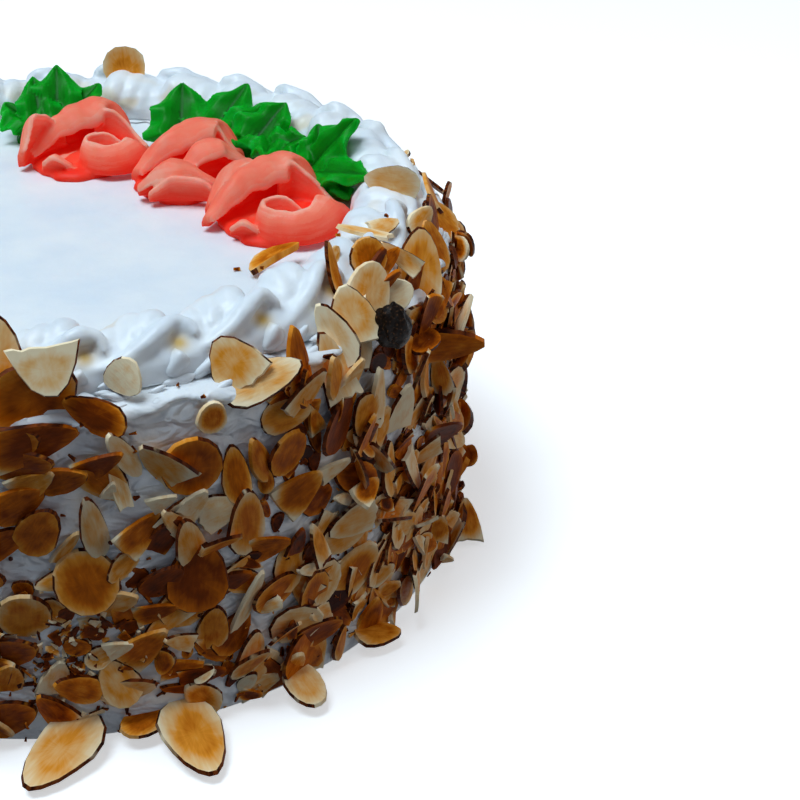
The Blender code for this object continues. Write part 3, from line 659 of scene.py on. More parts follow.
# Ribbons: plan points, width at each, lean at foot and at edge, and those two again where they differ at
# the far end
flowers = {
    "ribbon_flower_1": {
        "pad": ((9, 42), (16, 13.5), 35),
        "ribbons": [
            ([(-8, 42), (-3, 48), (4, 53.5), (12, 57.5), (19, 56.5), (22, 51)],
             (10, 15, 19, 21.5, 20, 12), (-12, 185)),
            ([(-10, 38), (-7, 42), (-3, 47), (3, 51)], (12, 16, 14, 11), (-14, 70)),
            ([(27, 37), (25.5, 31), (20, 27.5), (14, 27), (9.5, 30.5), (7.5, 36), (10, 40.5), (15, 42),
              (20, 41)], (12, 12, 10, 9, 8.5, 8, 7.5, 7, 5.5), (20, 120, -18, -12)),
            ([(-4, 35.5), (0, 33.5), (4, 32.5)], (5, 7.5, 5), (-10, 130)),
            ([(11.5, 50.5), (16, 50), (21, 48), (26, 43)], (12.5, 12, 8, 4), (-6, 30)),
        ],
    },
    "ribbon_flower_2": {
        "pad": ((37, 20), (17, 14.5), 35),
        "ribbons": [
            ([(20.5, 21), (26, 27), (33, 31), (41, 34.5), (48, 34), (51.5, 28)],
             (11, 16, 19, 20.5, 19.5, 12), (-12, 180)),
            ([(29, 15), (37, 19), (45, 22.5), (53, 21)], (9, 15, 16, 10), (-16, 170)),
            ([(20.5, 10), (28, 10.5), (34, 11), (43, 8)], (10, 14, 14, 9), (-16, 175)),
            ([(23, 5.5), (30, 5.5), (38, 3), (43, 0)], (6, 8.5, 8, 5), (-6, 80)),
            ([(41, 30), (45.5, 30), (50, 27)], (12.5, 12, 8), (-6, 30)),
        ],
    },
    "ribbon_flower_3": {
        "pad": ((57, -13), (17, 15.5), 25),
        "ribbons": [
            ([(36, -15), (41, -8), (49, -1), (58, 3.5), (65, 2), (68, -4)],
             (9, 15, 19, 21, 20, 12), (-12, 185)),
            ([(38, -7), (42, -0.5), (48, 4.5), (55, 7.5)], (10, 16, 17, 16), (-14, 130)),
            ([(74, -16), (71, -24.5), (64, -30), (57, -31), (51.5, -27), (49.5, -21.5), (51.5, -17),
              (57, -15.5), (62, -16.5)], (13, 13, 10, 9, 8.5, 8, 7.5, 7, 5.5), (20, 120, -18, -12)),
            ([(42, -20.5), (45.5, -22.5), (49, -23.5)], (5, 7, 5), (-10, 130)),
            ([(57, -2.5), (61.5, -2.5), (66, -5), (71, -10)], (12.5, 12, 9, 5), (-6, 30)),
        ],
    },
}

# Leaves: foot and tip, height of the tip above the top, width, turn about the leaf's own length
leaves = {
    "piped_leaves_left": {
        "pad": ((-1.5, 64), (10, 4.5), 5),
        "leaves": [
            ((1.3, 62.4), (3, 77), 18, 20, 0),
            ((-3.6, 61.3), (-4.4, 75), 15.5, 16, 0),
            ((4.6, 63.8), (15.5, 71.5), 13, 17, 0),
            ((-6.4, 63.1), (-14, 71), 9, 17, 0),
            ((-2.1, 65.6), (-10, 60), 5, 13, 0),
            ((2, 62), (0, 56), 5, 12, 0),
        ],
    },
    "piped_leaves_middle": {
        "pad": ((49.5, 42), (18, 5), -37),
        "leaves": [
            ((36, 45), (39, 61), 15, 23, 0),
            ((41, 43.5), (47, 55), 10, 17, 0),
            ((44.7, 42.2), (58, 54.5), 15.5, 20, 15),
            ((50, 38), (64, 46), 12, 17, 30),
            ((55.4, 33.1), (67, 40), 14, 20, 25),
            ((60.9, 27.2), (70, 24), 9, 15, 30),
            ((52, 36), (50, 28), 7, 15, 0),
            ((60.8, 31.3), (57, 19), 6, 13, 0),
        ],
    },
    "piped_leaves_right": {
        "pad": ((71.4, 12.5), (7.5, 4.2), 78),
        "leaves": [
            ((70.2, 14.6), (82, 9), 19, 20, 30),
            ((70, 9), (79, -19), 13, 17, 20),
            ((71.6, 15.3), (73.5, 26), 12, 14, 0),
            ((71, 3), (75, -12), 5, 13, 0),
        ],
    },
}


def ribbon(plan, widths, leans, seed):
    path = curveThrough([Vector((x, y, w)) for (x, y), w in zip(plan, widths)], icing["keySteps"])
    rings, alongs, reached = [], [], 0.0
    count = icing["stations"]
    for i, key in enumerate(path):
        before, after = path[max(i - 1, 0)], path[min(i + 1, len(path) - 1)]
        along = Vector((after.x - before.x, after.y - before.y, 0)).normalized()
        side = along.cross(up)
        reached += (after - key).length
        spot = Vector((key.x, key.y, topZ + icing["ribbonFoot"]))
        near, far = [], []
        end = min(i, len(path) - 1 - i) / icing["keySteps"]
        width = key.z * (0.4 + 0.6 * ease(end, -0.4, 1.1)) * (1 + 0.05 * wave((reached, 9, 0), 4, seed))
        passed = i / (len(path) - 1)
        low = leans[0] + (leans[-2] - leans[0]) * passed
        high = leans[1] + (leans[-1] - leans[1]) * passed
        groove = icing["groove"] * math.sin(math.pi * passed) * ease(high, 140, 170)
        waver = icing["edgeWave"] * wave((reached, 0, 0), 7, seed) + 5 * wave((reached, 3, 0), 3, seed)
        for k in range(count):
            share = k / (count - 1)
            lean = math.radians(low + (high - low) * share ** 2 + waver * share)
            if k:
                grow = side * math.sin(lean) + up * math.cos(lean)
                spot = spot + grow * width / (count - 1)
            face = side * math.cos(lean) - up * math.sin(lean)
            half = icing["ribbonThickness"] / 2 * (1.15 - 0.65 * share)
            dent = face * groove * math.exp(-((share - 0.8 + 0.45 * passed) / 0.09) ** 2)
            near.append(spot - face * half - dent)
            far.append(spot + face * half - dent)
        rings.append(near + far[::-1])
        alongs.append(reached)
    edges = [k / (count - 1) for k in range(count)]
    return skin(rings, edges + edges[::-1], alongs)


def leaf(foot, tip, rise, width, roll, lift, seed):
    start = Vector((foot[0], foot[1], topZ + gap + 0.95 * icing["leafFoot"] + lift))
    end = Vector((tip[0], tip[1], topZ + rise))
    axis = (end - start).normalized()
    across = Matrix.Rotation(math.radians(roll), 3, axis) @ up.cross(axis).normalized()
    face = axis.cross(across)
    rings, alongs = [], []
    count, half = icing["leafSteps"], 8
    for i in range(count):
        share = i / count
        centre = start.lerp(end, share)
        centre.z = start.z + (end.z - start.z) * (1 - (1 - share) ** 1.12)
        broad = width / 2 * (0.9 + 1.5 * share) * (1 - share) ** 1.05 * (
            1 + 0.1 * math.sin(share * 12 + seed))
        thick = icing["leafFoot"] * (1.25 - 0.8 * share)

        def ruffle(x):
            fold = math.sin(share * 14 + seed * 2 + (0 if x > 0 else 1.3))
            return icing["leafRuffle"] * fold * x * x * min(share * 3, 1) * min((1 - share) * 2.6, 1)

        ring, edges = [], []
        for k in range(-half, half + 1):
            x = k / half
            groove = 0.7 * (1 - abs(abs(x) - 0.5) * 2) + 0.3 * (1 - abs(x))
            ring.append(centre + across * x * broad + face * (thick * groove + ruffle(x)))
            edges.append(abs(x))
        for k in range(half - 1, -half, -2):
            x = k / half
            ring.append(centre + across * x * broad + face * (ruffle(x) - 0.75 * thick * (1 - abs(x)) - 0.4))
            edges.append(abs(x))
        rings.append(ring)
        alongs.append((end - start).length * share)
    return skin(rings, edges, alongs, end)


def pad(spec):
    (x, y), (longHalf, shortHalf), turn = spec
    spin = Matrix.Rotation(math.radians(turn), 3, "Z")
    rings = []
    for height, scale in ((-0.5, 0.98), (gap, 1.0), (1.2, 0.97), (1.9, 0.9), (2.2, 0.78)):
        ring = []
        for i in range(64):
            angle = 2 * math.pi * i / 64
            size = scale * (1 + 0.05 * math.cos(5 * angle) + 0.02 * math.sin(13 * angle))
            ring.append(spin @ Vector((longHalf * math.cos(angle), shortHalf * math.sin(angle), 0)) * size
                        + Vector((x, y, topZ + height)))
        rings.append(ring)
    return skin(rings, [0.0] * 64, [0.0] * len(rings))


# Fuses closed shapes into one skin, then gives each point the edge and along value of the nearest source
# point
def fuse(name, shapes, material, smooth):
    points, faces, edgeValues, alongValues = [], [], [], []
    for shapePoints, shapeFaces, edges, alongs in shapes:
        faces += [tuple(len(points) + n for n in face) for face in shapeFaces]
        points += shapePoints
        edgeValues += edges
        alongValues += alongs
    obj = addMesh(name, points, faces)
    melt(obj, icing["voxel"], smooth)
    tree = KDTree(len(points))
    for i, p in enumerate(points):
        tree.insert(Vector(p) * mm, i)
    tree.balance()
    nearest = [tree.find(v.co)[1] for v in obj.data.vertices]
    for key, values in (("edge", edgeValues), ("along", alongValues)):
        obj.data.attributes.new(key, "FLOAT", "POINT").data.foreach_set("value", [values[i] for i in nearest])
    obj.data.materials.clear()
    obj.data.materials.append(material)
    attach(obj, "root")
    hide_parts(name)
    obj.name = name.title().replace("_", "")
    print(obj.name + ":", len(obj.data.polygons), "faces")


for place, (name, spec) in enumerate(flowers.items()):
    shapes = [pad(spec["pad"])] + [ribbon(*row, seed=place * 5 + i) for i, row in enumerate(spec["ribbons"])]
    fuse(name, shapes, coral, icing["ribbonSmooth"])
for place, (name, spec) in enumerate(leaves.items()):
    shapes = [pad(spec["pad"])]
    shapes += [leaf(*row, lift=icing["leafLift"] * i, seed=place * 7 + i)
               for i, row in enumerate(spec["leaves"])]
    fuse(name, shapes, green, icing["leafSmooth"])


# Dried fruit on the shoulder
raisin = {"length": 12, "width": 9.5, "azimuth": 42, "height": 89, "wrinkle": 0.24}


def makeRaisin():
    bm = bmesh.new()
    bmesh.ops.create_icosphere(bm, subdivisions=5, radius=1.0)
    for vert in bm.verts:
        x, y, z = vert.co
        fold = abs(wave((x, y, z * 0.5), 0.8, 21)) + 0.4 * abs(wave((x, y, z * 0.6), 0.35, 22))
        vert.co = Vector((x * raisin["width"] / 2, y * raisin["width"] / 2, z * raisin["length"] / 2))
        vert.co *= 1 - raisin["wrinkle"] * (0.55 - min(fold, 0.55)) / 0.55
    points = [v.co + radial(raisin["azimuth"]) * (sideRadius(raisin["height"]) + raisin["width"] / 2 + gap)
              + up * raisin["height"] for v in bm.verts]
    faces = [tuple(v.index for v in face.verts) for face in bm.faces]
    bm.free()
    obj = addMesh("driedFruit", points, faces)
    obj.data.materials.append(raisinMaterial())
    return obj


driedFruit = makeRaisin()
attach(driedFruit, "root")
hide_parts("raisin")
print("dried fruit:", len(driedFruit.data.polygons), "faces")


# Kinds of almond slice: share of the length that is kept from the top, how much narrower the top is than
# the foot, share of the rim that has skin, and how far the slice is bent, in thicknesses
sliceKinds = [
    {"cut": 1.0, "taper": 0.30, "skin": 1.0, "bend": 0.6},      # 0 whole, pointed
    {"cut": 1.0, "taper": 0.18, "skin": 1.0, "bend": -0.5},     # 1 whole, rounder
    {"cut": 1.0, "taper": 0.34, "skin": 0.55, "bend": 0.9},     # 2 whole, skin on one side
    {"cut": 1.0, "taper": 0.05, "skin": 0.8, "bend": 0.3},      # 3 nearly round
    {"cut": 0.62, "taper": 0.25, "skin": 0.9, "bend": 0.5},     # 4 broken across
    {"cut": 0.5, "taper": 0.2, "skin": 1.0, "bend": 0.7},       # 5 half
    {"cut": 0.7, "taper": 0.3, "skin": 0.6, "bend": -0.7},      # 6 broken across, worn skin
    {"cut": 1.0, "taper": 0.1, "skin": 0.5, "bend": 0.2},       # 7 sliver
    {"cut": 0.8, "taper": 0.0, "skin": 0.3, "bend": 0.1},       # 8 stick
    {"cut": 0.45, "taper": 0.1, "skin": 0.4, "bend": 0.4},      # 9 shard
    {"cut": 0.55, "taper": 0.4, "skin": 0.0, "bend": 0.3},      # 10 pale shard
    {"cut": 1.0, "taper": 0.2, "skin": 0.0, "bend": 0.5},       # 11 without skin
    {"cut": 0.6, "taper": 0.15, "skin": -0.45, "bend": 0.4},    # 12 broken across, skin on the other side
]
slices = {
    "thickness": 0.85,
    "rim": 0.03,              # how far the upper face is set in, as a share of the width
    "settle": 0.7, "sink": 0.25,    # how flat and how deep the placed slices lie on the cream
    "footTilt": 78,           # lean of the slices at the foot
    "kindSeed": 3,
    "jitter": 2.0,            # degrees of extra turn at random
    "jitterSeed": 12,
}

# Slices placed one by one on the side: azimuth, height, length, width, turn, lean, roll, kind, tone, toast
sideSlices = [
    (-8, 77, 15, 9, 80, 16, 14, 0, 0.5, 0.06),
    (-9, 67, 14, 9, 60, -14, 16, 2, 0.52, 0.04),
    (-7, 60, 15, 10, 30, 15, -14, 1, 0.44, 0.06),
    (-10, 38, 14, 13, 10, 14, 12, 3, 0.28, 0.1),
    (-14, 9, 15, 12, 80, -14, 12, 1, 0.5, 0.04),
    (-8, 11, 12, 9, -30, 16, -12, 4, 0.45, 0.1),
    (1, 76, 12, 7, 60, 24, 18, 6, 0.55, 0.1),
    (4, 77, 15, 5, -25, 14, 24, 7, 0.12, 0.0),
    (3, 70, 13, 4, -12, -16, 20, 8, 0.14, 0.0),
    (-0.5, 60, 19, 6.5, -6, 13, 26, 0, 0.1, 0.1),
    (12, 71, 16, 14.5, 0, 12, -10, 3, 0.42, 0.12),
    (5, 57, 12, 9, 55, -18, 12, 6, 0.38, 0.1),
    (8, 55, 12, 8, 35, 17, 12, 4, 0.72, 0.0),
    (-2, 46, 17, 15, -15, -12, 12, 3, 0.3, 0.22),
    (1, 39, 12, 8, 70, 16, 12, 2, 0.26, 0.0),
    (15, 58, 11, 10, 70, 14, -16, 5, 0.02, 0.08),
    (18.5, 53, 20, 10.5, -4, 12, 14, 0, 0.18, 0.26),
    (11, 51, 18, 8, -10, 15, 16, 0, 0.2, 0.06),
    (11.5, 42, 18, 15, 10, -12, -14, 1, 0.55, 0.06),
    (4, 26, 14, 11, 50, 14, 10, 6, 0.34, 0.12),
    (0.5, 17, 14, 10, -25, -14, 14, 2, 0.26, 0.0),
    (13, 27, 14, 8, 8, 15, -16, 0, 0.36, 0.0),
    (18, 31, 19, 4.5, 22, 12, 24, 8, 0.04, 0.0),
    (11, 14, 12, 7, 85, 16, 10, 4, 0.62, 0.1),
    (25, 77, 13, 9, 85, 16, -12, 0, 0.28, 0.06),
    (21, 68, 15, 6, -22, 14, 22, 2, 0.4, 0.0),
    (17.5, 66, 15, 7, -2, -14, -18, 0, 0.34, 0.14),
    (25, 67, 13, 11, 15, 14, 14, 3, 0.42, 0.08),
    (33, 69, 16, 11, 50, -14, 16, 1, 0.68, 0.0),
    (41, 70, 20, 8.5, -12, 13, 18, 2, 0.08, 0.06),
    (26.5, 56, 13, 11, 60, 14, -12, 6, 0.3, 0.25),
    (36, 52, 14, 9, -60, -15, 14, 1, 0.45, 0.15),
    (46.5, 62, 14, 11, 5, 14, -14, 4, 0.0, 0.0),
    (43, 48, 15, 8, 10, -14, 18, 0, 0.24, 0.06),
    (33.5, 38, 14, 12, 80, 12, 10, 3, 0.22, 0.04),
    (22, 31, 14, 10, 80, -14, 12, 1, 0.4, 0.06),
    (35, 26, 17, 12, 45, 13, -10, 11, 0.18, 0.3),
    (38, 42, 13, 10, -40, 15, 14, 2, 0.5, 0.06),
    (18, 16, 15, 8.5, 8, 13, 16, 0, 0.14, 0.06),
    (25, 10, 14, 11, 40, -14, 14, 1, 0.6, -0.2),
    (32, 7, 13, 5.5, 0, 14, 24, 0, 0.32, 0.1),
    (38, 8, 14, 8, 12, 14, -18, 2, 0.4, 0.12),
    (46, 8, 14, 8.5, -50, 15, 14, 0, 0.24, 0.06),
    (53, 12, 12, 8, -20, 14, 16, 11, 0.28, 0.06),
    (54, 64, 12, 7, 20, -16, 18, 2, 0.3, 0.06),
    (54, 38, 14, 8, 5, 15, -16, 0, 0.26, 0.06),
    # smaller ones between them
    (-6, 85, 19, 12, 84, -18, 8, 4, 0.55, 0.08),
    (-10, 83, 18, 11, 70, 10, 10, 1, 0.42, 0.1),
    (-11, 78, 14, 4, 70, 14, 12, 8, 0.18, 0.0),
    (-7, 72, 11, 8, 60, 16, 8, 6, 0.3, 0.05),
    (-3.5, 72, 12, 8, 72, 12, 14, 2, 0.5, 0.0),
    (2, 69, 5, 4, 20, 18, 8, 10, 0.0, 0.0),
    (8, 64, 7, 5, 65, 18, 8, 10, 0.0, 0.0),
    (12, 62, 8, 7, 40, 12, 14, 9, 0.06, 0.04),
    (9, 59, 9, 5, -30, 16, 20, 9, 0.2, 0.0),
    (-4, 55, 11, 3, 38, 14, 20, 8, 0.28, 0.0),
    (1, 27, 7, 6, 70, 14, 10, 10, 0.05, 0.0),
    (8.5, 26, 9, 5, -60, 18, 12, 9, 0.22, 0.0),
    (1.5, 14, 14, 9, 78, 10, 14, 5, 0.2, 0.0),
    (15, 82, 8, 7.5, 0, 3, 2, 11, 0.12, 0.34),
    (25.6, 82, 10, 6, 60, 20, 10, 6, 0.6, 0.0),
    (28, 84, 14, 6, -16, 20, 42, 0, 0.4, 0.1),
    (33, 83, 15, 8, -18, 14, 30, 2, 0.3, 0.08),
    (36, 80, 9, 7, 30, 16, 10, 9, 0.22, 0.0),
    (32, 58, 9, 6, 74, 14, 12, 10, 0.04, 0.0),
    (33, 49, 9, 4, -60, 18, 18, 10, 0.06, 0.0),
    (21.5, 44, 11, 8, 88, 14, 10, 6, 0.46, 0.05),
    (25.5, 43, 8, 6, 10, 14, 14, 4, 0.75, 0.0),
    (27, 34, 9, 3.5, -64, 16, 22, 8, 0.1, 0.0),
    (29, 19, 10, 5, -70, 18, 20, 8, 0.2, 0.0),
    (28, 14, 15, 8, 84, 14, 12, 1, 0.5, 0.08),
    (8.5, 17, 11, 6, 88, 10, 8, 9, 0.44, 0.06),
    (-13, 20, 12, 8, 20, 16, 12, 2, 0.3, 0.1),
    (-12, 28, 13, 9, 74, 14, 10, 1, 0.5, 0.06),
    (-15, 48, 14, 10, 80, 16, 14, 0, 0.44, 0.1),
    (-12, 57, 14, 8, 68, -16, 12, 1, 0.56, 0.0),
    (7, 43, 12, 8, 60, 14, 14, 1, 0.66, 0.05),
    (6, 35, 11, 6, 80, 16, 12, 6, 0.5, 0.06),
    (15.5, 38, 12, 8, 74, 16, 14, 4, 0.58, 0.08),
]

# Thick pieces that stand out from the side, with their way out before the kind
proudSlices = [
    (57, 71, 17.5, 10, 90, 60, 4, 6.5, 4, 0.46, 0.0),
    (72, 54, 17, 10, 78, 8, 62, 3.5, 2, 0.5, 0.08),
    (75, 43, 14, 7, 70, 0, 50, 2.5, 0, 0.3, 0.1),
    (74, 31, 14, 8, 75, 0, 52, 2.5, 1, 0.4, 0.1),
    (70, 17, 13, 8, 20, 30, 30, 1.5, 2, 0.45, 0.05),
    (68, 6, 13, 9, 60, 0, 52, 2.5, 0, 0.3, 0.1),
]

# Slices at the foot that lean on the side: azimuth, length, width, turn, kind, tone, toast
footSlices = [
    (-7, 25, 15, 38, 0, 0.2, 0.04),
    (8.5, 25, 15, -6, 0, 0.2, 0.12),
    (3, 12, 9, 70, 3, 0.36, 0.1),
    (24, 15, 10, 8, 3, 0.18, 0.04),
    (38, 13, 9, -50, 2, 0.32, 0.08),
    (120, 16, 10, 15, 0, 0.3, 0.1),
    (205, 18, 11, -25, 1, 0.2, 0.1),
    (262, 15, 10, 30, 2, 0.4, 0.1),
    (312, 20, 12, -10, 0, 0.25, 0.1),
]

# Sliver on the top, just inside the border: two ends from the axis and above the top
sliver = {"ends": ((43.5, -45, 1.4), (57, -37, 4.2)), "width": 4.5, "tone": 0.42}

# Even spread round the rest of the side, drawn in rows
spread = {"rows": 7, "perRow": 12, "height": 86, "seed": 23, "clearFrom": -17, "clearTo": 62}

# Smaller slices and shards that fill the side
fill = {
    "seed": 8, "tries": 3300, "share": 0.62,
    "frontShare": 0.6,        # how much of the front stays covered, where the cream shows most
    "front": (-40, -18, 18, 34),    # azimuths between which the front share comes in and goes out
    "apart": 0.3,             # distance that is kept from a placed slice, as a share of both lengths
    "skip": 0.85,             # share of the slices too near to a placed one that are left out
    "onEdge": 0.12,           # share of the slices that stand on edge
    "length": (6, 15), "width": (0.45, 0.82), "outMost": 2.4,
    "tones": (0.02, 0.08, 0.14, 0.18, 0.22, 0.26, 0.3, 0.36, 0.44, 0.54, 0.68),
    "kinds": (0, 0, 1, 1, 2, 2, 3, 4, 4, 5, 6, 6, 7, 8, 9, 9, 10, 11),
}

# Bare places in the cream: azimuth, height, half width in degrees, half height
barePatches = [(-2, 80, 4, 5.5), (5, 82, 5, 6), (12, 83, 6, 6), (19, 80, 4, 5), (-4, 66, 3, 8), (6, 66, 3, 8),
               (-2, 5, 6, 6), (4, 8, 5, 9), (-8, 50, 3, 5), (30, 46, 3, 4), (40, 30, 3, 4), (24, 24, 3, 4),
               (95, 70, 6, 9), (140, 40, 7, 9), (190, 66, 8, 8), (235, 30, 7, 9), (275, 60, 7, 8),
               (318, 34, 7, 8)]


# Frame of a slice: Y along its length, Z out of the surface it lies on
def sliceMatrix(centre, outward, turn, lean, roll):
    across = up.cross(outward).normalized()
    basis = Matrix((across, outward.cross(across), outward)).transposed().to_4x4()
    spin = Matrix.Rotation(math.radians(-turn), 4, "Z")
    tilt = Matrix.Rotation(math.radians(lean), 4, "X") @ Matrix.Rotation(math.radians(roll), 4, "Y")
    return Matrix.Translation(centre) @ basis @ spin @ tilt


# One row of the point cloud; the slice is moved up or down until it lies between two heights
def slicePoint(matrix, length, width, kind, tone, toast, thickness=1.0, low=0.8, high=200):
    reach = abs(matrix[2][1]) * length / 2 * 0.93 + abs(matrix[2][0]) * width / 2 * 0.93
    middle = matrix.translation.z
    move = max(0.0, low - (middle - reach)) - max(0.0, middle + reach - high)
    matrix = Matrix.Translation((0, 0, move)) @ matrix
    return matrix, (width, length, slices["thickness"] * thickness), kind, tone, toast


# How far the ends and sides of a tilted slice stand apart, measured outwards
def tiltReach(length, width, lean, roll):
    return length * abs(math.sin(math.radians(lean))) + width * abs(math.sin(math.radians(roll)))


def sideSlice(azimuth, height, length, width, turn, lean, roll, kind, tone, toast, out=None, thickness=1.0):
    if out is None:
        lean *= slices["settle"]
        roll *= slices["settle"]
        out = 0.42 * tiltReach(length, width, lean, roll) - slices["sink"] + (1.8 if length < 10 else 0.4)
    outward = radial(azimuth)
    centre = outward * (sideRadius(height) + out) + up * height
    matrix = sliceMatrix(centre, outward, turn, lean, roll)
    return slicePoint(matrix, length, width, kind, tone, toast, thickness, high=topZ + 1)


def footSlice(azimuth, length, width, turn, kind, tone, toast):
    outward = radial(azimuth)
    centre = outward * (drum["footRadius"] + length * math.cos(math.radians(turn)) * 0.42) + up * 5
    matrix = sliceMatrix(centre, outward, 180 + turn, 0, 0)
    flat = Matrix.Translation(centre) @ Matrix.Rotation(
        math.radians(-slices["footTilt"]), 4, up.cross(outward)) @ Matrix.Translation(-centre)
    return slicePoint(flat @ matrix, length, width, kind, tone, toast, low=1.3)


def clearOfRaisin(azimuth, height, reach):
    arc = math.radians(azimuth - raisin["azimuth"]) * drum["topRadius"]
    return math.hypot(arc, height - raisin["height"]) > reach + raisin["length"] / 2 + gap


def spreadSlices():
    draw = random.Random(spread["seed"])
    looks = random.Random(spread["seed"] + 1)
    rows = []
    for row in range(spread["rows"]):
        for column in range(spread["perRow"]):
            azimuth = (column + 0.5 * (row % 2) + draw.uniform(-0.3, 0.3)) * 360 / spread["perRow"]
            height = (row + 0.5 + draw.uniform(-0.3, 0.3)) * spread["height"] / spread["rows"]
            length = draw.uniform(14, 19)
            width = length * draw.uniform(0.55, 0.75)
            turn = draw.uniform(-90, 90)
            lean = draw.choice((-1, 1)) * draw.uniform(12, 20)
            roll = draw.choice((-1, 1)) * draw.uniform(10, 20)
            if spread["clearFrom"] < wrapped(azimuth) < spread["clearTo"]:
                continue
            if clearOfRaisin(wrapped(azimuth), height, length / 2):
                rows.append(sideSlice(azimuth, height, length, width, turn, lean, roll,
                                      looks.choice((0, 1, 2, 3)), looks.choice(fill["tones"]),
                                      looks.uniform(0, 0.25)))
    return rows


# Share of the side that is covered at a place
def cover(azimuth, height):
    for centre, middle, halfWidth, halfHeight in barePatches:
        if math.hypot(wrapped(azimuth - centre) / halfWidth, (height - middle) / halfHeight) < 1:
            return 0.0
    azimuth = wrapped(azimuth)
    a, b, c, d = fill["front"]
    front = ease(azimuth, a, b) * (1 - ease(azimuth, c, d))
    return (1 - (1 - fill["frontShare"]) * front) * (1 - 0.5 * ease(height, 78, 86))


# Whether a place is closer to the middle of a placed slice than the given function of that slice's length
def nearPlaced(azimuth, height, distance):
    for placedAzimuth, placedHeight, placedLength, *_ in sideSlices:
        arc = math.radians(azimuth - placedAzimuth) * drum["topRadius"]
        if math.hypot(arc, height - placedHeight) < distance(placedLength):
            return True
    return False


def fillSlices():
    draw = random.Random(fill["seed"])
    rows = []
    for _ in range(fill["tries"]):
        azimuth, height = draw.uniform(0, 360), draw.uniform(2, 87)
        length = draw.uniform(*fill["length"])
        width = length * draw.uniform(*fill["width"])
        kind = draw.choice(fill["kinds"])
        if kind in (7, 8):
            width = draw.uniform(2, 4)
        if kind in (9, 10):
            length *= 0.7
            width *= 0.8
        turn, lean, roll = draw.uniform(-180, 180), draw.gauss(0, 13), draw.gauss(0, 15)
        if draw.random() < fill["onEdge"]:
            roll = draw.choice((-1, 1)) * draw.uniform(40, 75)
        tone = min(max(draw.choice(fill["tones"]) + draw.gauss(0, 0.04), 0), 0.85)
        toast = max(draw.gauss(0.14, 0.12), 0) if tone < 0.4 else 0.04
        out = draw.uniform(0, 1) ** 2 * fill["outMost"]
        bare = draw.random() > cover(azimuth, height) * fill["share"]
        if bare or not clearOfRaisin(wrapped(azimuth), height, length / 2):
            continue
        crowded = nearPlaced(wrapped(azimuth), height,
                             lambda placedLength: fill["apart"] * (length + placedLength))
        if crowded and draw.random() < fill["skip"]:
            continue
        lean, roll = min(max(lean, -34), 34), min(max(roll, -75), 75)
        rows.append(sideSlice(azimuth, height, length, width, turn, lean, roll, kind, tone, toast,
                              out=0.34 * tiltReach(length, width, lean, roll) + out))
    return rows


def borderRows():
    rows = []
    for azimuth, radius, height, length, width, turn, lean, roll, kind, tone, toast, *face in borderSlices:
        centre = radial(azimuth) * radius + up * (topZ + height)
        matrix = sliceMatrix(centre, radial(face[0] if face else azimuth), turn, lean, roll)
        rows.append(slicePoint(matrix, length, width, kind, tone, toast, low=topZ - 24))
    start, end = [Vector(p) + up * topZ for p in sliver["ends"]]
    along = (end - start).normalized()
    across = up.cross(along).normalized()
    basis = Matrix((across, along, across.cross(along))).transposed().to_4x4()
    rows.append(slicePoint(Matrix.Translation((start + end) / 2) @ basis, (end - start).length,
                           sliver["width"], 2, sliver["tone"], 0.0, thickness=2))
    return rows


# Outline of one kind in a box of 1 by 1, and which of its points lie on the almond's own rim
def kindOutline(spec, draw, count):
    low = 0.52 - spec["cut"] if spec["cut"] < 1 else -1
    points = []
    for i in range(count):
        turn = 2 * math.pi * (i + 0.5) / count
        x = 0.5 * math.sin(turn) * (1 - spec["taper"] * math.cos(turn)) * (1 + draw.uniform(-0.04, 0.04))
        points.append((x, 0.5 * math.cos(turn) * (1 + draw.uniform(-0.02, 0.02))))
    own = [y > low for x, y in points]
    broken = [i for i in range(count) if not own[i]]
    if broken:
        start, end = points[broken[0] - 1], points[(broken[-1] + 1) % count]
        bow = draw.uniform(-0.05, 0.05)
        for step, i in enumerate(broken):
            share = (step + 1) / (len(broken) + 1)
            jag = bow * math.sin(math.pi * share) + draw.uniform(-0.012, 0.012)
            points[i] = (start[0] + (end[0] - start[0]) * share, start[1] + (end[1] - start[1]) * share + jag)
    xs, ys = [x for x, y in points], [y for x, y in points]
    wide, tall = max(xs) - min(xs), max(ys) - min(ys)
    midX, midY = (max(xs) + min(xs)) / 2, (max(ys) + min(ys)) / 2
    return [((x - midX) / wide, (y - midY) / tall) for x, y in points], own


def makeKind(name, spec, draw, holder, count, rings):
    outline, own = kindOutline(spec, draw, count)
    reach = spec["skin"]
    skinned = [own[i] and own[(i + 1) % count]
               and ((i + 0.5) / count < reach or (i + 0.5) / count > 1 + min(reach, 0))
               for i in range(count)]

    def sag(x, y):
        return -spec["bend"] * (4 * x * x) + spec["bend"] * 0.5 * y * y

    points = []
    for scale, z in rings:
        points += [(x * scale, y * scale, z + sag(x * scale, y * scale)) for x, y in outline]
    last = (len(rings) - 1) * count
    faces = gridFaces(len(rings), count) + [tuple(range(count)), tuple(range(last, last + count))]
    mesh = bpy.data.meshes.new(name)
    mesh.from_pydata(points, [], faces)
    local = [c for x, y, z in points for c in (2 * x, 2 * y, 0.0)]
    mesh.attributes.new("local", "FLOAT_VECTOR", "POINT").data.foreach_set("vector", local)
    rimSkin = [float(flag) for flag in skinned] + [0.0] * (len(faces) - count)
    mesh.attributes.new("skin", "FLOAT", "FACE").data.foreach_set("value", rimSkin)
    bm = bmesh.new()
    bm.from_mesh(mesh)
    faceOut(bm)
    bm.verts.ensure_lookup_table()
    for edge in bm.edges:         # the two ends of the rim are sharp
        rows = sorted(v.index // count for v in edge.verts)
        edge.smooth = rows not in ([0, 0], [1, 1])
    bm.to_mesh(mesh)
    bm.free()
    mesh.polygons.foreach_set("use_smooth", [True] * len(mesh.polygons))
    holder.objects.link(bpy.data.objects.new(name, mesh))


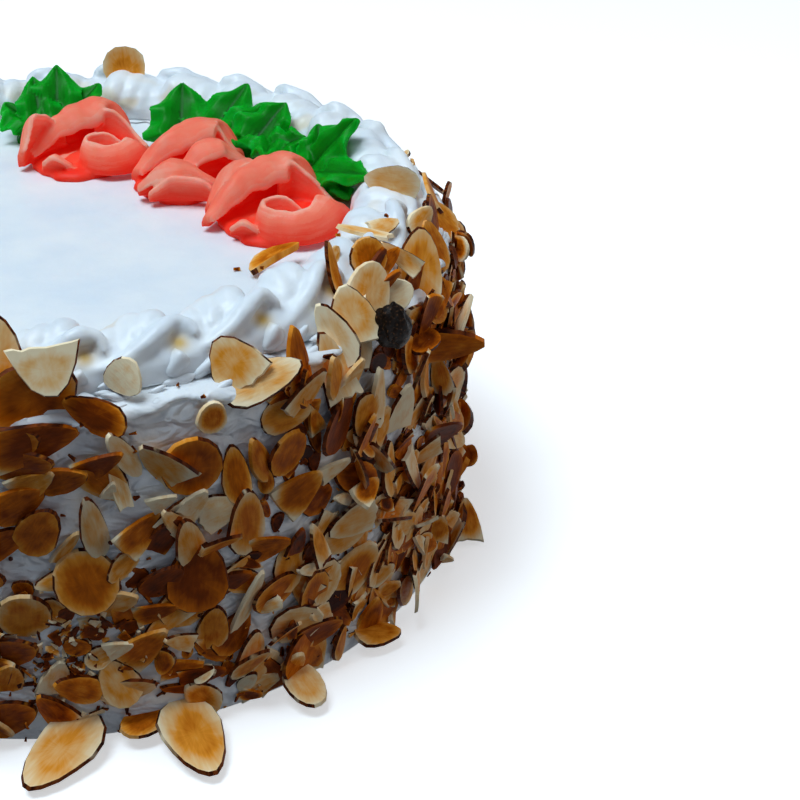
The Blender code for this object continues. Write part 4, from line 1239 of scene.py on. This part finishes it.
# Collection of the kinds that one scattering picks from, with so many points round and one ring for each
# share
def makeHolder(name, numbers, count, rings):
    holder = bpy.data.collections.new(name + "Kinds")
    for place, number in enumerate(numbers):
        makeKind("%s%02d" % (name, place), sliceKinds[number], kindDraw, holder, count, rings)
    return holder


# Node tree that sets one slice of the chosen kind on every point, turned and scaled by the point's own
# attributes
def sliceTree():
    tree = bpy.data.node_groups.new("setSlices", "GeometryNodeTree")
    for name, kind in (("Geometry", "Geometry"), ("Kinds", "Collection"), ("Material", "Material"),
                       ("Jitter", "Float"), ("Seed", "Int")):
        tree.interface.new_socket(name, in_out="INPUT", socket_type="NodeSocket" + kind)
    tree.interface.new_socket("Geometry", in_out="OUTPUT", socket_type="NodeSocketGeometry")
    given = tree.nodes.new("NodeGroupInput").outputs
    kinds = addNode(tree, "GeometryNodeCollectionInfo",
                    {"Collection": given["Kinds"], "Separate Children": True, "Reset Children": True})
    attributes = (("turned", "FLOAT_VECTOR"), ("size", "FLOAT_VECTOR"), ("kind", "INT"))
    turned, size, kind = (addNode(tree, "GeometryNodeInputNamedAttribute", {"Name": name}, data_type=data)
                          for name, data in attributes)
    least = addNode(tree, "ShaderNodeMath", {0: given["Jitter"], 1: -1.0}, operation="MULTIPLY")
    spin = addNode(tree, "FunctionNodeRandomValue",
                   {"Min": least, "Max": given["Jitter"], "Seed": given["Seed"]}, data_type="FLOAT_VECTOR")
    angles = addNode(tree, "ShaderNodeVectorMath", {0: turned, 1: spin}, operation="ADD")
    placed = addNode(tree, "GeometryNodeInstanceOnPoints",
                     {"Points": given["Geometry"], "Instance": kinds, "Pick Instance": True,
                      "Instance Index": kind,
                      "Rotation": addNode(tree, "FunctionNodeEulerToRotation", {0: angles}), "Scale": size})
    real = addNode(tree, "GeometryNodeRealizeInstances", {"Geometry": placed})
    coloured = addNode(tree, "GeometryNodeSetMaterial", {"Geometry": real, "Material": given["Material"]})
    plug(tree, tree.nodes.new("NodeGroupOutput"), {0: coloured})
    return tree


def setInputs(modifier, **values):
    for item in modifier.node_group.interface.items_tree:
        if item.in_out == "INPUT" and item.name in values:
            modifier[item.identifier] = values[item.name]


# One mesh of every slice in a list of rows
def scatter(name, rows, kinds, material):
    mesh = bpy.data.meshes.new(name)
    mesh.from_pydata([matrix.translation * mm for matrix, *_ in rows], [], [])
    for key, kind, field, values in (
            ("turned", "FLOAT_VECTOR", "vector", [angle for row in rows for angle in row[0].to_euler()]),
            ("size", "FLOAT_VECTOR", "vector", [s * mm for row in rows for s in row[1]]),
            ("kind", "INT", "value", [row[2] for row in rows]),
            ("tone", "FLOAT", "value", [row[3] for row in rows]),
            ("toast", "FLOAT", "value", [row[4] for row in rows])):
        mesh.attributes.new(key, kind, "POINT").data.foreach_set(field, values)
    obj = bpy.data.objects.new(name, mesh)
    bpy.context.scene.collection.objects.link(obj)
    modifier = obj.modifiers.new("slices", "NODES")
    modifier.node_group = sliceTree()
    setInputs(modifier, Kinds=kinds, Material=material, Jitter=math.radians(slices["jitter"]),
              Seed=slices["jitterSeed"])
    bake(obj)
    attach(obj, "root")
    print(name + ":", len(rows), "pieces,", len(obj.data.polygons), "faces")
    return obj


kindDraw = random.Random(slices["kindSeed"])
kindHolder = makeHolder("slice", range(len(sliceKinds)), 16,
                        ((1, -0.5), (1 - 2 * slices["rim"], 0.5), (0.5, 0.5)))

sideRows = [sideSlice(*row) for row in sideSlices]
sideRows += [sideSlice(*row[:7], *row[8:], out=row[7], thickness=2.2) for row in proudSlices]
sideRows += [footSlice(*row) for row in footSlices] + spreadSlices() + fillSlices()
sideAlmonds = scatter("sideAlmonds", sideRows, kindHolder, almond)
borderAlmonds = scatter("borderAlmonds", borderRows(), kindHolder, almond)

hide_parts("cake")
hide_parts("shell_border")


# Crumbs of brown skin and almond; the cluster is the patch of them low on the front
crumbs = {
    "seed": 17, "tries": 2600, "size": (0.8, 3.2),
    "tones": (0.55, 0.65, 0.72, 0.8, 0.8, 0.3, 0.1),
    "cluster": 170, "clusterTones": (0.02, 0.1, 0.3, 0.5, 0.66, 0.7, 0.74), "clusterSize": (0.9, 4.2),
    "clusterPlace": (-6, 24), "clusterSpread": (5.5, 8),     # azimuth and height
}

# Crumbs on the border and on the top: azimuth, distance from the axis, height above the top, size, tone
topCrumbs = [
    (45.7, 57, 0.4, 1.8, 0.6), (17.3, 97, 1.0, 1.0, 0.7),
    (12, 98, 0.6, 0.9, 0.7), (33, 80, 13, 1.2, 0.6), (52, 82, 12, 1.3, 0.5), (60, 90, 13.5, 1.4, 0.6),
]

crumbHolder = makeHolder("crumb", (4, 5, 9, 10), 7, ((1, -0.5), (0.9, 0.5)))


def makeCrumbs():
    draw = random.Random(crumbs["seed"])
    rows = []
    for _ in range(crumbs["tries"]):
        azimuth, height = draw.uniform(0, 360), draw.uniform(0.6, 87)
        size = draw.uniform(*crumbs["size"]) * draw.uniform(0.6, 1)
        near = 0.35 + 0.65 * ease(height, 60, 20)
        turn, lean, roll = draw.uniform(-180, 180), draw.gauss(0, 22), draw.gauss(0, 22)
        kind, tone = draw.choice((0, 1, 2, 3)), draw.choice(crumbs["tones"])
        width = size * draw.uniform(0.4, 0.9)
        if draw.random() > near or not clearOfRaisin(wrapped(azimuth), height, size):
            continue
        outward = radial(azimuth)
        centre = outward * (sideRadius(height) + draw.uniform(0.2, 1.0)) + up * height
        matrix = sliceMatrix(centre, outward, turn, lean, roll)
        rows.append(slicePoint(matrix, size, width, kind, tone, 0.0, 0.45))
    for _ in range(crumbs["cluster"]):
        azimuth, height = (draw.gauss(*pair) for pair in zip(crumbs["clusterPlace"], crumbs["clusterSpread"]))
        outward = radial(azimuth)
        size = draw.uniform(*crumbs["clusterSize"])
        centre = outward * (sideRadius(height) + draw.uniform(0.3, 1.4)) + up * max(height, 2)
        matrix = sliceMatrix(centre, outward, draw.uniform(-180, 180), draw.gauss(0, 24), draw.gauss(0, 24))
        rows.append(slicePoint(matrix, size, size * draw.uniform(0.4, 0.9), draw.choice((0, 1, 2, 3)),
                               draw.choice(crumbs["clusterTones"]), 0.0, 0.5))
    for azimuth, radius, height, size, tone in topCrumbs:
        centre = radial(azimuth) * radius + up * (topZ + height)
        matrix = Matrix.Translation(centre) @ Matrix.Rotation(azimuth, 4, "Z")     # any turn will do
        rows.append(slicePoint(matrix, size, size * 0.6, 2, tone, 0.0, 0.7, low=topZ))
    return rows


skinCrumbs = scatter("skinCrumbs", makeCrumbs(), crumbHolder, almond)

# Darker flakes close to the cream, below the other slices: dark skin, and painted shade in the gaps between
# the slices; "low" are the larger ones near the foot on the right
flakes = {
    "seed": 41, "tries": 1700, "length": (4, 11), "width": (0.5, 0.85), "thickness": 0.7,
    "low": 240, "lowLength": (9, 15),
    "lowPlace": (2, 76, 3, 42),     # azimuth from and to, height from and to
    "apart": (0.36, 0.1),     # distance from a placed slice, as shares of its length and of the flake's
    "tones": (0.26, 0.38, 0.46, 0.54, 0.62, 0.68, 0.74, 0.8), "lowTones": (0.14, 0.2, 0.26, 0.32, 0.4, 0.5),
}

flakeHolder = makeHolder("flake", (0, 1, 3, 4, 6, 9), 11, ((1, -0.5), (0.94, 0.5)))


def makeFlakes():
    draw = random.Random(flakes["seed"])
    rows = []
    for i in range(flakes["tries"] + flakes["low"]):
        if i < flakes["tries"]:
            azimuth, height = draw.uniform(-180, 180), draw.uniform(3, 80)
            length, tone = draw.uniform(*flakes["length"]), draw.choice(flakes["tones"])
        else:
            left, right, bottom, top = flakes["lowPlace"]
            azimuth, height = draw.uniform(left, right), draw.uniform(bottom, top)
            length, tone = draw.uniform(*flakes["lowLength"]), draw.choice(flakes["lowTones"])
        width = length * draw.uniform(*flakes["width"])
        turn, lean, roll = draw.uniform(-180, 180), draw.gauss(0, 6), draw.gauss(0, 7)
        out, kind, chance = draw.uniform(0, 0.5), draw.choice(range(6)), draw.random()
        if chance > cover(azimuth, height) or not clearOfRaisin(azimuth, height, length / 2):
            continue
        theirs, own = flakes["apart"]
        if nearPlaced(azimuth, height, lambda placedLength: theirs * placedLength + own * length):
            continue
        rows.append(sideSlice(azimuth, height, length, width, turn, lean, roll, kind, tone, 0.06,
                              out=0.3 * tiltReach(length, width, lean, roll) + out,
                              thickness=flakes["thickness"]))
    return rows


# the dark flakes are partly skin and partly painted shade between the slices
darkFlakes = scatter("darkFlakes", makeFlakes(), flakeHolder, almond)


# Floor, light and camera
stage = {
    "floor": "F4F5F6", "floorReach": 4000, "floorGlow": 0.56,
    "sky": "C9DAF0", "skyStrength": 0.215, "groundStrength": 0.05,      # light places and sizes are in metres
    "keyPlace": (-0.3, -0.06, 1.2), "keySize": 0.6, "keyPower": 13.2, "keyColour": "E0F2FF",
    "fillPlace": (0.88, -0.36, 0.46), "fillSize": 0.7, "fillPower": 1.45, "fillColour": "FFF4E8",
}
# angles in radians
shot = {"distance": 480, "rise": 0.5728, "yaw": 0.2233, "pitch": 0.5226, "roll": 0.0024, "lens": 72.38}


def addLight(name, place, size, power, colour):
    light = bpy.data.lights.new(name, "AREA")
    light.size = size
    light.energy = power
    light.color = linear(colour)[:3]
    obj = bpy.data.objects.new(name, light)
    obj.location = place
    obj.rotation_euler = (Vector((0, 0, 0.05)) - Vector(place)).to_track_quat("-Z", "Y").to_euler()
    bpy.context.scene.collection.objects.link(obj)


def makeStage():
    reach = stage["floorReach"]
    floor = addMesh("floor", [(x * reach, y * reach, -0.2) for x, y in ((-1, -1), (1, -1), (1, 1), (-1, 1))],
                    [(0, 1, 2, 3)])
    material, tree, shader = newMaterial("paleFloor")
    colour = linear(stage["floor"])
    plug(tree, shader, {"Roughness": 0.9, "Base Color": colour, "Emission Color": colour,
                        "Emission Strength": stage["floorGlow"]})
    floor.data.materials.append(material)
    floor.visible_diffuse = False
    world = bpy.data.worlds.new("studio")
    world.use_nodes = True
    tree = world.node_tree
    spot = addNode(tree, "ShaderNodeTexCoord", {}, "Generated")
    height = addNode(tree, "ShaderNodeSeparateXYZ", {0: spot}, 2)
    strength = addNode(tree, "ShaderNodeMapRange",
                       {"Value": height, "From Min": -0.5, "From Max": 0.3,
                        "To Min": stage["groundStrength"], "To Max": stage["skyStrength"]})
    plug(tree, tree.nodes["Background"], {"Color": linear(stage["sky"]), "Strength": strength})
    bpy.context.scene.world = world
    for name in ("key", "fill"):
        addLight(name, *(stage[name + part] for part in ("Place", "Size", "Power", "Colour")))


def makeCamera():
    camera = bpy.data.cameras.new("camera")
    camera.lens = shot["lens"]
    camera.sensor_width = 36
    camera.clip_start = 0.01
    obj = bpy.data.objects.new("camera", camera)
    level = Vector((math.sin(shot["yaw"]), math.cos(shot["yaw"]), 0))
    forward = level * math.cos(shot["pitch"]) - up * math.sin(shot["pitch"])
    right = Vector((level.y, -level.x, 0))
    above = right.cross(forward)
    c, s = math.cos(shot["roll"]), math.sin(shot["roll"])
    turn = Matrix((right * c + above * s, above * c - right * s, -forward)).transposed()
    place = Vector((0, -math.cos(shot["rise"]), math.sin(shot["rise"]))) * shot["distance"] * mm
    obj.matrix_world = Matrix.Translation(place) @ turn.to_4x4()
    bpy.context.scene.collection.objects.link(obj)
    bpy.context.scene.camera = obj


makeStage()
makeCamera()
print("floor, light and camera are set")
bpy.context.scene.view_settings.view_transform = "Standard"
